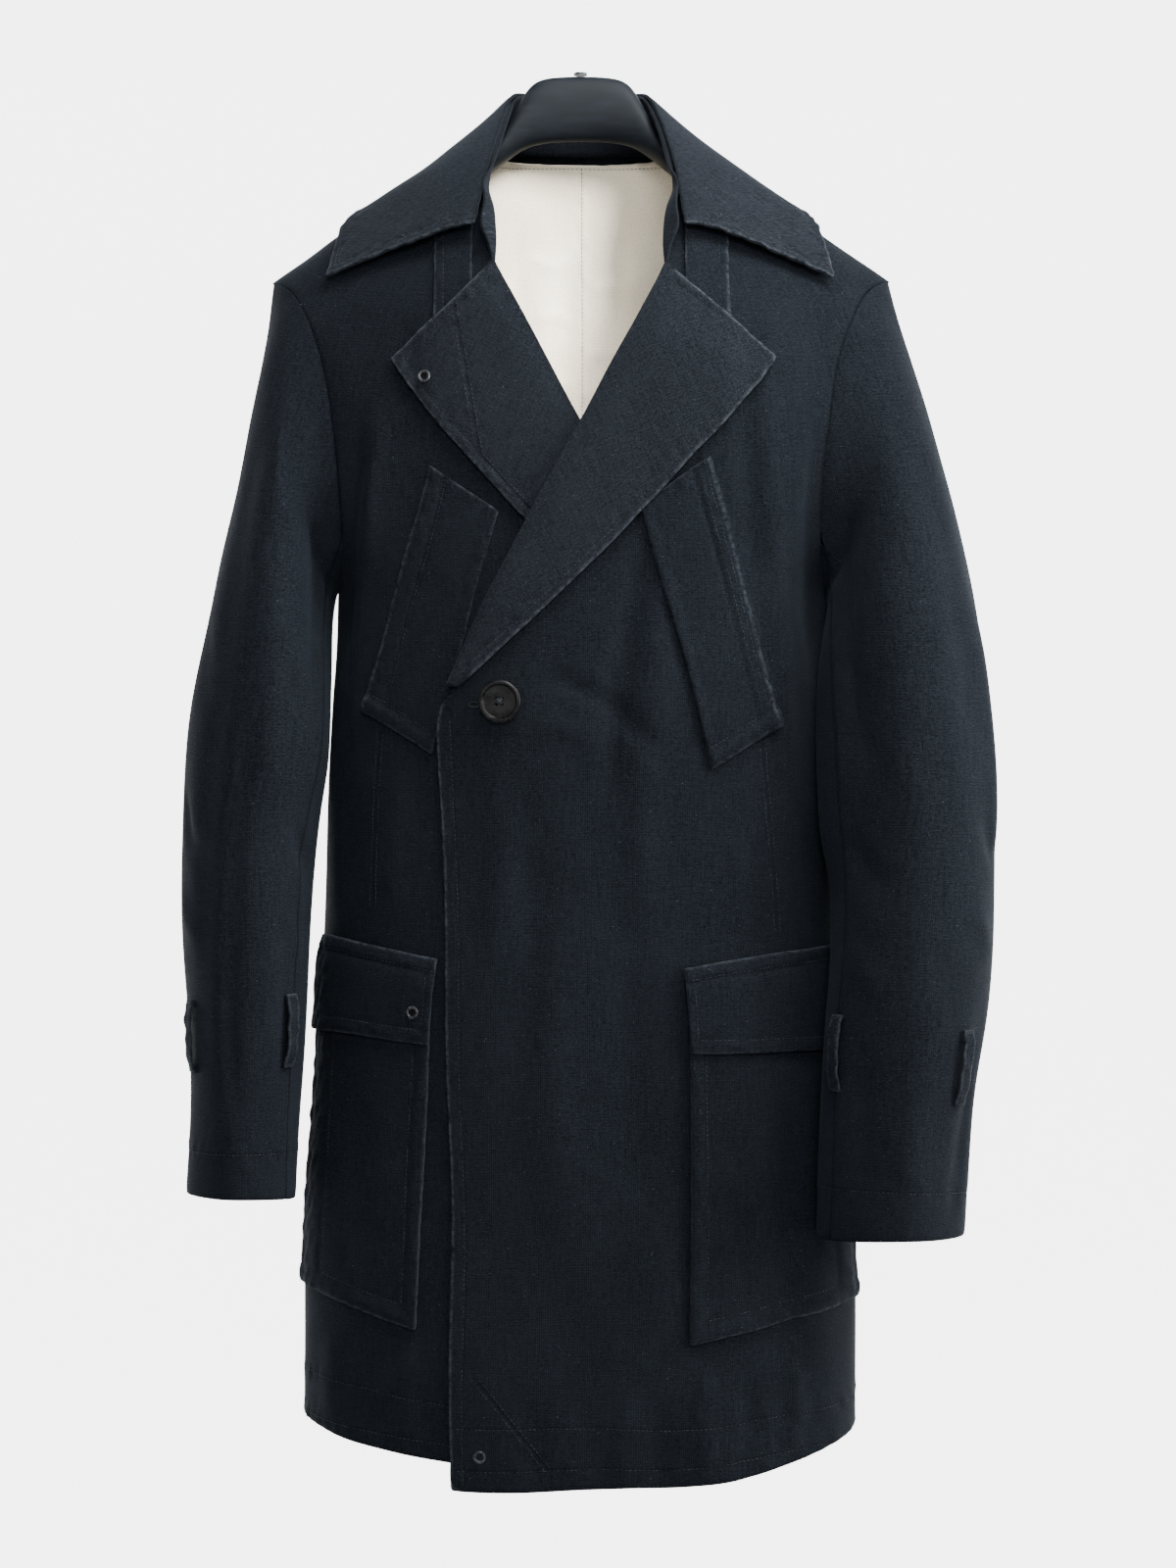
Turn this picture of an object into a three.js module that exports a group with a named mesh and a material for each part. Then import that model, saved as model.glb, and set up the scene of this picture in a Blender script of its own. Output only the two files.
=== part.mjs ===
// A three-quarter moto coat in heavy canvas, hanging on a broad display hanger.
// Millimetres, +Z up, origin at the top of the hanger's hook socket.
// The front of the coat faces -Y, and +X is the viewer's right (the wearer's left).
import * as THREE from 'three';

// Cloth thicknesses and the small gaps between pieces
const PANEL_THICKNESS = 2.0;
const LAPEL_THICKNESS = 2.2;
const POCKET_THICKNESS = 2.6;
const FLAP_THICKNESS = 2.2;
const STRIP_THICKNESS = 1.2;
const LINING_THICKNESS = 1.0;
const SEAM_GAP = 0.3;
const LAY_GAP = 0.6;
const POCKET_GAP = 1.2;

// Body form: superellipse sections under a sloping shoulder line
const SECTION_POWER = 2.4;
const NECK_HALF_WIDTH = 76;
const NECK_TOP = -50;
const SHOULDER_SLOPE = 0.686;
const NECK_RISE = 26;
const SHOULDER_ROUND = 26;
const CHEST_DROP = 180;
const ROUND_SHARE = 0.24;
const BACK_DEPTH_SHARE = 0.92;
const SLOPE_STEP = 1.5;

// Half width and front depth of the body, by height
const BODY = [
  { z: -1060, halfWidth: 209, depth: 104 },
  { z: -900, halfWidth: 207, depth: 104 },
  { z: -800, halfWidth: 203, depth: 104 },
  { z: -720, halfWidth: 196, depth: 104 },
  { z: -600, halfWidth: 191, depth: 104 },
  { z: -500, halfWidth: 188, depth: 105 },
  { z: -392, halfWidth: 184, depth: 105 },
  { z: -380, halfWidth: 188, depth: 105 },
  { z: -355, halfWidth: 200, depth: 105 },
  { z: -320, halfWidth: 212, depth: 105 },
  { z: -277, halfWidth: 226, depth: 104 },
  { z: -205, halfWidth: 252, depth: 99 },
  { z: -157, halfWidth: 285, depth: 98 },
  { z: 20, halfWidth: 420, depth: 98 },
];

// Soft upright folds: the line each runs along, its half width and its height.
// A fold that runs past OPEN_BELOW stays full at the hem, and the others fade at both ends.
const FOLD_FADE = 0.3;
const OPEN_BELOW = -1000;
const FRONT_FOLDS = [
  { topX: 146, topZ: -215, lowX: 158, lowZ: -560, width: 11, height: 4.5 },
  { topX: 62, topZ: -380, lowX: 46, lowZ: -640, width: 20, height: 2.5 },
  { topX: 168, topZ: -760, lowX: 176, lowZ: -1050, width: 14, height: 4.0 },
  { topX: 108, topZ: -900, lowX: 116, lowZ: -1050, width: 13, height: 3.0 },
  { topX: -147, topZ: -215, lowX: -160, lowZ: -520, width: 11, height: 4.5 },
  { topX: -172, topZ: -820, lowX: -178, lowZ: -1050, width: 12, height: 4.0 },
  { topX: -136, topZ: -930, lowX: -140, lowZ: -1050, width: 12, height: 2.5 },
];
const BACK_FOLDS = [
  { topX: 120, topZ: -230, lowX: 104, lowZ: -1050, width: 22, height: 6.0 },
  { topX: 58, topZ: -420, lowX: 48, lowZ: -1050, width: 18, height: 4.0 },
  { topX: -112, topZ: -230, lowX: -108, lowZ: -1050, width: 22, height: 6.0 },
  { topX: -50, topZ: -460, lowX: -60, lowZ: -1050, width: 18, height: 4.0 },
];

// Armhole from the armpit up to the shoulder tip, as seen from the front
const ARMHOLE = [
  { x: 184, z: -392 },
  { x: 181, z: -380 },
  { x: 178, z: -356 },
  { x: 178, z: -322 },
  { x: 181, z: -280 },
  { x: 186, z: -242 },
  { x: 192, z: -215 },
  { x: 200, z: -193 },
  { x: 210, z: -172 },
  { x: 219, z: -163 },
  { x: 226.5, z: -158.2 },
  { x: 232, z: -157 },
];

// The front's inner edge above the armpit row: roll line, gorge and neckline
const FRONT_INNER = [
  { x: -72, z: -417 },
  { x: -45, z: -362 },
  { x: -15, z: -303 },
  { x: 8, z: -262 },
  { x: 28, z: -224 },
  { x: 48, z: -186 },
  { x: 64, z: -155 },
  { x: 68, z: -115 },
  { x: 72, z: -80 },
  { x: 75, z: -64 },
  { x: 75.8, z: -55 },
  { x: 76, z: -50 },
];
const BACK_INNER = [
  { x: 0, z: -392 },
  { x: 0, z: -310 },
  { x: 0, z: -235 },
  { x: 0, z: -175 },
  { x: 0, z: -125 },
  { x: 0, z: -85 },
  { x: 0, z: -57 },
  { x: 20, z: -57 },
  { x: 40, z: -56.3 },
  { x: 58, z: -55 },
  { x: 70, z: -53 },
  { x: 76, z: -50 },
];

// The front edge under the armpit row, by its share of the way down to the hem
const ROW_SHARES = [0, 0.08, 0.106, 0.18, 0.26, 0.34, 0.42, 0.5, 0.58, 0.66, 0.74, 0.82, 0.9, 0.96, 1];
const TOP_EDGE = [
  { share: 0, x: -72 },
  { share: 0.08, x: -92 },
  { share: 0.106, x: -103 },
  { share: 0.3, x: -99 },
  { share: 0.64, x: -93.5 },
  { share: 1, x: -93.5 },
];
const UNDER_EDGE = [
  { share: 0, x: -72 },
  { share: 0.08, x: -92 },
  { share: 0.106, x: -97 },
  { share: 0.64, x: -92 },
  { share: 1, x: -90 },
];
const TOP_HEM = { inner: -1046, side: -1012 };
const UNDER_HEM = { inner: -1030, side: -1004 };
const BACK_HEM = -1012;
const PANEL_COLUMNS = 12;

// The overlap stands off the underlap, most where the hidden lapel lies between them
const OVERLAP_LIFT = { low: 3.6, high: 9.6, topZ: -165, fullZ: -225, lowZ: -470, endZ: -540 };
const OVERLAP_FADE = { from: 105, to: 182 };

// Collar: a station every few centimetres from the centre back to the front end
const COLLAR = [
  { rollX: 0, rollY: 47, rollZ: -12, edgeX: 0, edgeY: 70, edgeZ: -76 },
  { rollX: 22, rollY: 42, rollZ: -11, edgeX: 40, edgeY: 69, edgeZ: -80 },
  { rollX: 40, rollY: 27, rollZ: -12, edgeX: 84, edgeY: 64, edgeZ: -92 },
  { rollX: 49, rollY: 8, rollZ: -16, edgeX: 128, edgeY: 50, edgeZ: -108 },
  { rollX: 54, rollY: -14, rollZ: -32, edgeX: 158, edgeY: 24, edgeZ: -103 },
  { rollX: 60, rollY: -38, rollZ: -56, edgeX: 174, edgeY: -12, edgeZ: -110 },
  { rollX: 67, rollY: -62, rollZ: -86, edgeX: 183, edgeY: -36, edgeZ: -140 },
  { rollX: 74, rollY: -87, rollZ: -127, edgeX: 187, edgeY: -52, edgeZ: -160 },
];
const COLLAR_ROWS = 6;
const COLLAR_STEPS = 18;
const COLLAR_THICKNESS = 2.6;
const STAND_THICKNESS = 2.2;
const COLLAR_CLEAR = 4.6;
const COLLAR_CHORD_CLEAR = 3.4;
const COLLAR_PASSES = 8;
const CLEAR = { step: 1, share: 0.5, near: 0.01, turns: 200 };
const COLLAR_SWELL = 5;
const STAND_ROWS = 3;
const STAND_INSET = { back: 1.35, end: 4.0 };
const STAND_MIDDLE = -12;
const STAND_END_OUT = 1.8;
const STAND_FOOT = 0.01;
const NECKLINE = { backShare: 0.45, outFade: 0.3, insetFrom: 0.6, insetFade: 0.3 };

// Lapels: the roll line and the outer edge, from the notch down to the break
const LAPEL = [
  { rollX: 64, rollZ: -157, edgeX: 138, edgeZ: -225 },
  { rollX: 48, rollZ: -187, edgeX: 124, edgeZ: -247 },
  { rollX: 28, rollZ: -224, edgeX: 97, edgeZ: -278 },
  { rollX: 8, rollZ: -262, edgeX: 65, edgeZ: -315 },
  { rollX: -15, rollZ: -303, edgeX: 30, edgeZ: -353 },
  { rollX: -45, rollZ: -362, edgeX: -12, edgeZ: -394 },
  { rollX: -72, rollZ: -417, edgeX: -54, edgeZ: -434 },
  { rollX: -91, rollZ: -463, edgeX: -86, edgeZ: -464 },
];
const LAPEL_ROWS = 7;
const LAPEL_STEPS = 14;
const LAPEL_LIFT = { roll: 0.8, out: 3.4, share: 0.15 };
const LAPEL_ROLL_OVER = 3;

// Pieces that lie on the fronts, each as four corners seen from the front
const WELTS = [
  {
    name: 'chest_welt_right', side: 'under',
    innerTop: [-59, -337], outerTop: [-108, -303], innerLow: [-107, -513], outerLow: [-158, -481],
  },
  {
    name: 'chest_welt_left', side: 'top',
    innerTop: [44, -333], outerTop: [93, -297], innerLow: [93, -523], outerLow: [145, -492],
  },
];
const NECK_STRIPS = [
  {
    name: 'neck_strip_right', side: 'under',
    innerTop: [-78, -112], outerTop: [-107, -112], innerLow: [-78, -206], outerLow: [-107, -216],
  },
  {
    name: 'neck_strip_left', side: 'top',
    innerTop: [77, -112], outerTop: [109, -112], innerLow: [77, -206], outerLow: [109, -216],
  },
];
const POCKETS = [
  {
    name: 'pocket_right', side: 'under',
    innerTop: [-107, -684], outerTop: [-191, -678], innerLow: [-119, -930], outerLow: [-204, -904],
  },
  {
    name: 'pocket_left', side: 'top',
    innerTop: [80, -690], outerTop: [191, -684], innerLow: [79, -940], outerLow: [204, -914],
  },
];
const FLAPS = [
  {
    name: 'flap_right', side: 'under',
    innerTop: [-103, -660], outerTop: [-189.5, -646], innerLow: [-109, -723], outerLow: [-193, -716],
  },
  {
    name: 'flap_left', side: 'top',
    innerTop: [75, -667], outerTop: [189.5, -652], innerLow: [80, -729], outerLow: [193, -730],
  },
];
const FLAP_LIFT = 5.0;
const FLAP_RISE = 0.25;

// Sleeves: outline points outside and inside the arm, half depth and middle, by ring
const SLEEVE_RIGHT = [
  { outX: 235, outZ: -192, inX: 186, inZ: -404, halfDepth: 70, middleY: -4 },
  { outX: 243, outZ: -250, inX: 185, inZ: -425, halfDepth: 74, middleY: -14 },
  { outX: 256, outZ: -318, inX: 182, inZ: -452, halfDepth: 77, middleY: -24 },
  { outX: 273, outZ: -395, inX: 180, inZ: -485, halfDepth: 78, middleY: -32 },
  { outX: 286, outZ: -462, inX: 181, inZ: -522, halfDepth: 77, middleY: -38 },
  { outX: 292, outZ: -520, inX: 193, inZ: -560, halfDepth: 75, middleY: -42 },
  { outX: 294, outZ: -570, inX: 197, inZ: -598, halfDepth: 72, middleY: -46 },
  { outX: 294, outZ: -620, inX: 199, inZ: -640, halfDepth: 69, middleY: -50 },
  { outX: 291, outZ: -668, inX: 200, inZ: -682, halfDepth: 65, middleY: -54 },
  { outX: 287, outZ: -716, inX: 202, inZ: -726, halfDepth: 61, middleY: -57 },
  { outX: 287, outZ: -770, inX: 205, inZ: -776, halfDepth: 57, middleY: -60 },
  { outX: 289, outZ: -808, inX: 206, inZ: -812, halfDepth: 54, middleY: -62 },
  { outX: 290, outZ: -833, inX: 207, inZ: -837, halfDepth: 52, middleY: -63 },
];
const SLEEVE_LEFT = [
  { outX: 238, outZ: -188, inX: 186, inZ: -404, halfDepth: 70, middleY: -4 },
  { outX: 256, outZ: -244, inX: 184, inZ: -425, halfDepth: 75, middleY: -16 },
  { outX: 272, outZ: -305, inX: 180, inZ: -452, halfDepth: 79, middleY: -28 },
  { outX: 287, outZ: -372, inX: 178, inZ: -482, halfDepth: 81, middleY: -38 },
  { outX: 299, outZ: -440, inX: 179, inZ: -520, halfDepth: 81, middleY: -46 },
  { outX: 304, outZ: -505, inX: 181, inZ: -560, halfDepth: 79, middleY: -54 },
  { outX: 305, outZ: -570, inX: 183, inZ: -605, halfDepth: 76, middleY: -62 },
  { outX: 304, outZ: -630, inX: 181, inZ: -655, halfDepth: 72, middleY: -71 },
  { outX: 299, outZ: -690, inX: 176, inZ: -708, halfDepth: 68, middleY: -80 },
  { outX: 290, outZ: -745, inX: 174, inZ: -758, halfDepth: 64, middleY: -87 },
  { outX: 283, outZ: -800, inX: 172, inZ: -808, halfDepth: 60, middleY: -92 },
  { outX: 279, outZ: -838, inX: 171.5, inZ: -842, halfDepth: 57, middleY: -95 },
  { outX: 278, outZ: -860, inX: 171, inZ: -861, halfDepth: 55, middleY: -96 },
];
// Angle of each sleeve column from the outside of the arm (0) to its inside (180)
const SLEEVE_ANGLES = [180, 165, 148, 128, 108, 88, 70, 54, 38, 24, 12, 0];
const FRONT_SEAM_COLUMN = 2;
const BACK_SEAM_COLUMN = 8;
const SLEEVE_CREASE = { angle: 78, spread: 16, height: 3 };
const SLEEVE_CLEAR = { upper: 2.4, pocket: 9.5, fromZ: -600, fullZ: -640, frontY: 40 };
const SLEEVE_STEP = { angle: 4, height: 6 };

// Cuff loops: a strip on the sleeve, placed by its column angle and height
const CUFF_LOOPS = [
  { name: 'cuff_loop_right_outer', sleeve: 'right', angle: 32, topZ: -690, lowZ: -743 },
  { name: 'cuff_loop_right_inner', sleeve: 'right', angle: 142, topZ: -687, lowZ: -740 },
  { name: 'cuff_loop_left_inner', sleeve: 'left', angle: 146, topZ: -700, lowZ: -755 },
  { name: 'cuff_loop_left_outer', sleeve: 'left', angle: 46, topZ: -710, lowZ: -764 },
];
const LOOP = { width: 12, thickness: 1.8, gap: 3.4, foot: 0.4, rise: 0.25, steps: 8 };

// Button and metal eyelets, by place on the front
const BUTTON = {
  x: -56.7, z: -474.5, radius: 15.5, thickness: 4.2, dish: 1.2, rim: 3.2, gap: 0.9,
  footInset: 2, footHeight: 1.4, edgeInset: 1.2, edgeDrop: 1, dishSlope: 1.5, sides: 32,
};
const EYELET = {
  outer: 4.9, inner: 2.3, height: 1.3, gap: 0.35,
  outerInset: 0.6, outerShare: 0.8, innerInset: 0.3, innerShare: 0.7, sides: 20,
};
const SEAT_REACH = 10;
const EYELETS = [
  { name: 'eyelet_lapel', x: -112, z: -239 },
  { name: 'eyelet_flap', x: -119.7, z: -699.8 },
  { name: 'eyelet_hem', x: -72.3, z: -1020.9 },
];

// Hanger: oval sections from the middle to the arm's end
const HANGER = [
  { x: 0, top: -2, low: -52, halfDepth: 11 },
  { x: 22, top: -2.5, low: -52.5, halfDepth: 11.5 },
  { x: 36, top: -6, low: -55, halfDepth: 12 },
  { x: 45, top: -20, low: -59, halfDepth: 13 },
  { x: 56, top: -43, low: -67, halfDepth: 14 },
  { x: 68, top: -56, low: -77, halfDepth: 16 },
  { x: 82, top: -59, low: -87, halfDepth: 17 },
  { x: 110, top: -77.5, low: -106, halfDepth: 16.5 },
  { x: 150, top: -105, low: -133, halfDepth: 16 },
  { x: 186, top: -129.5, low: -155, halfDepth: 13 },
  { x: 206, top: -144.5, low: -165, halfDepth: 10 },
  { x: 212, top: -153, low: -163, halfDepth: 5 },
];
const HANGER_SIDES = 16;
const HANGER_POWER = 2.1;
const SOCKET = { radius: 5, height: 1.8, sides: 24 };

// Lining: the part of the back lining that shows in the neck
const LINING = { topHalf: 66, lowHalf: 128, lowZ: -318, topDrop: 4, inset: 1.9, columns: 14, rows: 8 };

function clamp(value, low, high) {
  return Math.min(high, Math.max(low, value));
}

function mix(a, b, t) {
  return a + (b - a) * t;
}

function smooth(t) {
  const s = clamp(t, 0, 1);
  return s * s * (3 - 2 * s);
}

// Reads a named column from a table by its key column, in straight stretches
function lookUp(table, key, column, at) {
  const rising = table[table.length - 1][key] > table[0][key];
  const rows = rising ? table : [...table].reverse();
  if (at <= rows[0][key]) return rows[0][column];
  for (let i = 1; i < rows.length; i += 1) {
    if (at <= rows[i][key]) {
      const t = (at - rows[i - 1][key]) / (rows[i][key] - rows[i - 1][key]);
      return mix(rows[i - 1][column], rows[i][column], t);
    }
  }
  return rows[rows.length - 1][column];
}

// Samples a table of stations smoothly at a share of its length
function station(table, share) {
  const place = clamp(share, 0, 1) * (table.length - 1);
  const i = Math.min(Math.floor(place), table.length - 2);
  const t = place - i;
  const out = {};
  for (const column of Object.keys(table[0])) {
    const p0 = table[Math.max(i - 1, 0)][column];
    const p1 = table[i][column];
    const p2 = table[i + 1][column];
    const p3 = table[Math.min(i + 2, table.length - 1)][column];
    const bend = (2 * p0 - 5 * p1 + 4 * p2 - p3) * t * t + (3 * p1 - p0 - 3 * p2 + p3) * t * t * t;
    out[column] = 0.5 * (2 * p1 + (p2 - p0) * t + bend);
  }
  return out;
}

function shoulderHeight(x) {
  const out = Math.abs(x);
  if (out < NECK_HALF_WIDTH) return NECK_TOP + NECK_RISE * (1 - (out / NECK_HALF_WIDTH) ** 2);
  return NECK_TOP - SHOULDER_SLOPE * (out - NECK_HALF_WIDTH);
}

function foldHeight(folds, x, z) {
  let height = 0;
  for (const fold of folds) {
    const along = (z - fold.topZ) / (fold.lowZ - fold.topZ);
    const lineX = mix(fold.topX, fold.lowX, clamp(along, 0, 1));
    const lowEnd = fold.lowZ < OPEN_BELOW ? 1 : smooth((1 - along) / FOLD_FADE);
    const ends = smooth(along / FOLD_FADE) * lowEnd;
    height += fold.height * ends * Math.exp(-(((x - lineX) / fold.width) ** 2));
  }
  return height;
}

// Depth of the body's surface from its middle plane
function bodyDepth(x, z, back) {
  const share = Math.min(Math.abs(x) / lookUp(BODY, 'z', 'halfWidth', z), 1);
  const across = (1 - share ** SECTION_POWER) ** (1 / SECTION_POWER);
  const drop = shoulderHeight(x) - z;
  if (drop <= 0) return drop;
  const round = Math.sqrt(1 - (1 - Math.min(drop / SHOULDER_ROUND, 1)) ** 2);
  const fall = 1 - (1 - Math.min(drop / CHEST_DROP, 1)) ** 2;
  const rise = ROUND_SHARE * round + (1 - ROUND_SHARE) * fall;
  const folds = foldHeight(back ? BACK_FOLDS : FRONT_FOLDS, x, z) * Math.min(across * 2, 1);
  const depth = lookUp(BODY, 'z', 'depth', z) * (back ? BACK_DEPTH_SHARE : 1);
  return (depth * across + folds) * rise;
}

// How fast the body's depth changes across and upwards, over a small step
function bodySlope(x, z, back, step) {
  return {
    slopeX: (bodyDepth(x + step, z, back) - bodyDepth(x - step, z, back)) / (2 * step),
    slopeZ: (bodyDepth(x, z + step, back) - bodyDepth(x, z - step, back)) / (2 * step),
  };
}

// A point on the body's surface, moved out along the surface's own direction
function surfacePoint(x, z, out, back = false) {
  const sign = back ? 1 : -1;
  const { slopeX, slopeZ } = bodySlope(x, z, back, SLOPE_STEP);
  const normal = new THREE.Vector3(-slopeX, sign, -slopeZ).normalize();
  return new THREE.Vector3(x, sign * bodyDepth(x, z, back), z).addScaledVector(normal, out);
}

function overlapLift(x, z) {
  const up = 1 - smooth((z - OVERLAP_LIFT.fullZ) / (OVERLAP_LIFT.topZ - OVERLAP_LIFT.fullZ));
  const down = smooth((z - OVERLAP_LIFT.endZ) / (OVERLAP_LIFT.lowZ - OVERLAP_LIFT.endZ));
  const across = 1 - smooth((x - OVERLAP_FADE.from) / (OVERLAP_FADE.to - OVERLAP_FADE.from));
  return mix(OVERLAP_LIFT.low, OVERLAP_LIFT.high, down) * up * across;
}

// A point on the outside of one front: the top one overlaps, the under one doesn't
function frontPoint(side, x, z, out) {
  const lift = side === 'top' ? overlapLift(x, z) : 0;
  return surfacePoint(x, z, lift + out);
}

// Pushes a point out of the body until it lies clear of the surface
function clearBody(point, clear) {
  for (let turn = 0; turn < CLEAR.turns; turn += 1) {
    const back = point.y > 0;
    const depth = bodyDepth(point.x, point.z, back);
    const missing = clear + depth - Math.abs(point.y);
    if (missing <= CLEAR.near) return point;
    const { slopeX, slopeZ } = bodySlope(point.x, point.z, back, CLEAR.step);
    const away = new THREE.Vector3(-slopeX, back ? 1 : -1, -slopeZ);
    const steep = away.length();
    point.addScaledVector(away.normalize(), (CLEAR.share * missing) / Math.max(steep, 1));
  }
  return point;
}

// Directions square to a grid of points, one for each point
function gridNormals(grid) {
  const last = grid.length - 1;
  return grid.map((row, i) => row.map((_, j) => {
    const end = row.length - 1;
    const up = grid[Math.min(i + 1, last)][j].clone().sub(grid[Math.max(i - 1, 0)][j]);
    const along = row[Math.min(j + 1, end)].clone().sub(row[Math.max(j - 1, 0)]);
    return along.cross(up).normalize();
  }));
}

// Moves the rim of a grid in by half a seam gap, so that neighbours don't touch
function trimRim(grid, gap = SEAM_GAP / 2) {
  const rows = grid.length - 1;
  const cols = grid[0].length - 1;
  const pull = (point, inner) => point.clone().add(inner.clone().sub(point).setLength(gap));
  const out = grid.map((row) => row.map((p) => p.clone()));
  for (let i = 0; i <= rows; i += 1) {
    out[i][0] = pull(out[i][0], grid[i][1]);
    out[i][cols] = pull(out[i][cols], grid[i][cols - 1]);
  }
  for (let j = 0; j <= cols; j += 1) {
    out[0][j] = pull(out[0][j], grid[1][j]);
    out[rows][j] = pull(out[rows][j], grid[rows - 1][j]);
  }
  return out;
}

// Joins two matching grids and their rims into one closed wall
function wallBetween(outer, inner) {
  const rows = outer.length;
  const cols = outer[0].length;
  const points = [...outer.flat(), ...inner.flat()];
  const at = (i, j) => i * cols + j;
  const under = (i, j) => rows * cols + i * cols + j;
  const faces = [];
  const quad = (a, b, c, d) => faces.push(a, b, c, a, c, d);
  for (let i = 0; i < rows - 1; i += 1) {
    for (let j = 0; j < cols - 1; j += 1) {
      quad(at(i, j), at(i, j + 1), at(i + 1, j + 1), at(i + 1, j));
      quad(under(i, j), under(i + 1, j), under(i + 1, j + 1), under(i, j + 1));
    }
  }
  for (let j = 0; j < cols - 1; j += 1) {
    quad(at(0, j), under(0, j), under(0, j + 1), at(0, j + 1));
    quad(at(rows - 1, j), at(rows - 1, j + 1), under(rows - 1, j + 1), under(rows - 1, j));
  }
  for (let i = 0; i < rows - 1; i += 1) {
    quad(at(i, 0), at(i + 1, 0), under(i + 1, 0), under(i, 0));
    quad(at(i, cols - 1), under(i, cols - 1), under(i + 1, cols - 1), at(i + 1, cols - 1));
  }
  return closedGeometry(points, faces);
}

// A closed mesh whose faces point out, whichever way its points were listed
function closedGeometry(points, faces) {
  let volume = 0;
  for (let i = 0; i < faces.length; i += 3) {
    const [a, b, c] = [points[faces[i]], points[faces[i + 1]], points[faces[i + 2]]];
    volume += a.dot(b.clone().cross(c));
  }
  const order = volume > 0 ? faces : [...faces].reverse();
  const geometry = new THREE.BufferGeometry();
  geometry.setAttribute('position', new THREE.Float32BufferAttribute(points.flatMap((p) => p.toArray()), 3));
  geometry.setIndex(order);
  geometry.computeVertexNormals();
  return geometry;
}

// A wall of one thickness behind a grid; outward picks the side that the grid's points are on
function wall(grid, thickness, outward) {
  const normals = gridNormals(grid);
  const middle = normals[Math.floor(grid.length / 2)][Math.floor(grid[0].length / 2)];
  const sign = middle.dot(outward) > 0 ? 1 : -1;
  const inner = grid.map((row, i) => row.map((p, j) => (
    p.clone().addScaledVector(normals[i][j], -sign * thickness)
  )));
  return wallBetween(grid, inner);
}

const CANVAS = { color: 0x17181c, roughness: 0.9, metalness: 0 };
const COLLAR_CANVAS = { color: 0x202226, roughness: 0.9, metalness: 0 };
const LINING_CLOTH = { color: 0xd9d0bd, roughness: 0.7, metalness: 0 };
const BLACK_PLASTIC = { color: 0x111214, roughness: 0.42, metalness: 0 };
const HORN = { color: 0x2b2622, roughness: 0.35, metalness: 0 };
const DARK_METAL = { color: 0x6d6e70, roughness: 0.35, metalness: 1 };
const BACK = new THREE.Vector3(0, 1, 0);

const coat = new THREE.Group();

function addPiece(name, geometry, finish) {
  const mesh = new THREE.Mesh(geometry, new THREE.MeshStandardMaterial(finish));
  mesh.name = name;
  coat.add(mesh);
  return mesh;
}

// Shares across a panel, closer together towards its side
function columnShare(j) {
  return Math.sin((j / PANEL_COLUMNS) * (Math.PI / 2));
}

// Rows of a panel as pairs of inner and side points, from the hem to the shoulder
function panelRows(inner, edge, hemInner, hemSide) {
  const armpit = ARMHOLE[0];
  const rows = ROW_SHARES.slice(1).reverse().map((share) => {
    const sideZ = mix(armpit.z, hemSide, share);
    return {
      inner: { x: lookUp(edge, 'share', 'x', share), z: mix(inner[0].z, hemInner, share) },
      side: { x: lookUp(BODY, 'z', 'halfWidth', sideZ), z: sideZ },
    };
  });
  ARMHOLE.forEach((side, i) => rows.push({ inner: inner[i], side }));
  return rows;
}

// Keeps a panel's points on its own side of the seams that run over the shoulder and side
function keepSide(point, sign) {
  point.y = sign * Math.max(sign * point.y, 0);
  return point;
}

// A front at a depth under its outside; the hem runs level and rises only near the side
function frontGrid(side, out) {
  const top = side === 'top';
  const mirror = top ? 1 : -1;
  const hem = top ? TOP_HEM : UNDER_HEM;
  const rows = panelRows(FRONT_INNER, top ? TOP_EDGE : UNDER_EDGE, hem.inner, hem.side);
  const armpitRow = ROW_SHARES.length - 1;
  return rows.map((row, i) => Array.from({ length: PANEL_COLUMNS + 1 }, (_, j) => {
    const share = columnShare(j);
    const x = mix(row.inner.x, row.side.x, share);
    const rise = mix(share ** 4, share, Math.min(i / armpitRow, 1));
    return keepSide(frontPoint(side, mirror * x, mix(row.inner.z, row.side.z, rise), out), -1);
  }));
}

function backGrid(mirror, out) {
  const centre = [{ share: 0, x: 0 }, { share: 1, x: 0 }];
  const hemSide = mirror > 0 ? TOP_HEM.side : UNDER_HEM.side;
  const rows = panelRows(BACK_INNER, centre, BACK_HEM, hemSide);
  return rows.map((row) => Array.from({ length: PANEL_COLUMNS + 1 }, (_, j) => {
    const share = columnShare(j);
    const x = mix(row.inner.x, row.side.x, share);
    const point = surfacePoint(mirror * x, mix(row.inner.z, row.side.z, share), out, true);
    if (row.inner.x + j === 0) point.x = 0;
    return keepSide(point, 1);
  }));
}

function addPanel(name, grid) {
  const outer = trimRim(grid(0));
  const inner = trimRim(grid(-PANEL_THICKNESS));
  addPiece(name, wallBetween(outer, inner), CANVAS);
}

function addBody() {
  addPanel('front_left', (out) => frontGrid('top', out));
  addPanel('front_right', (out) => frontGrid('under', out));
  addPanel('back_left', (out) => backGrid(1, out));
  addPanel('back_right', (out) => backGrid(-1, out));
}

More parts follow.
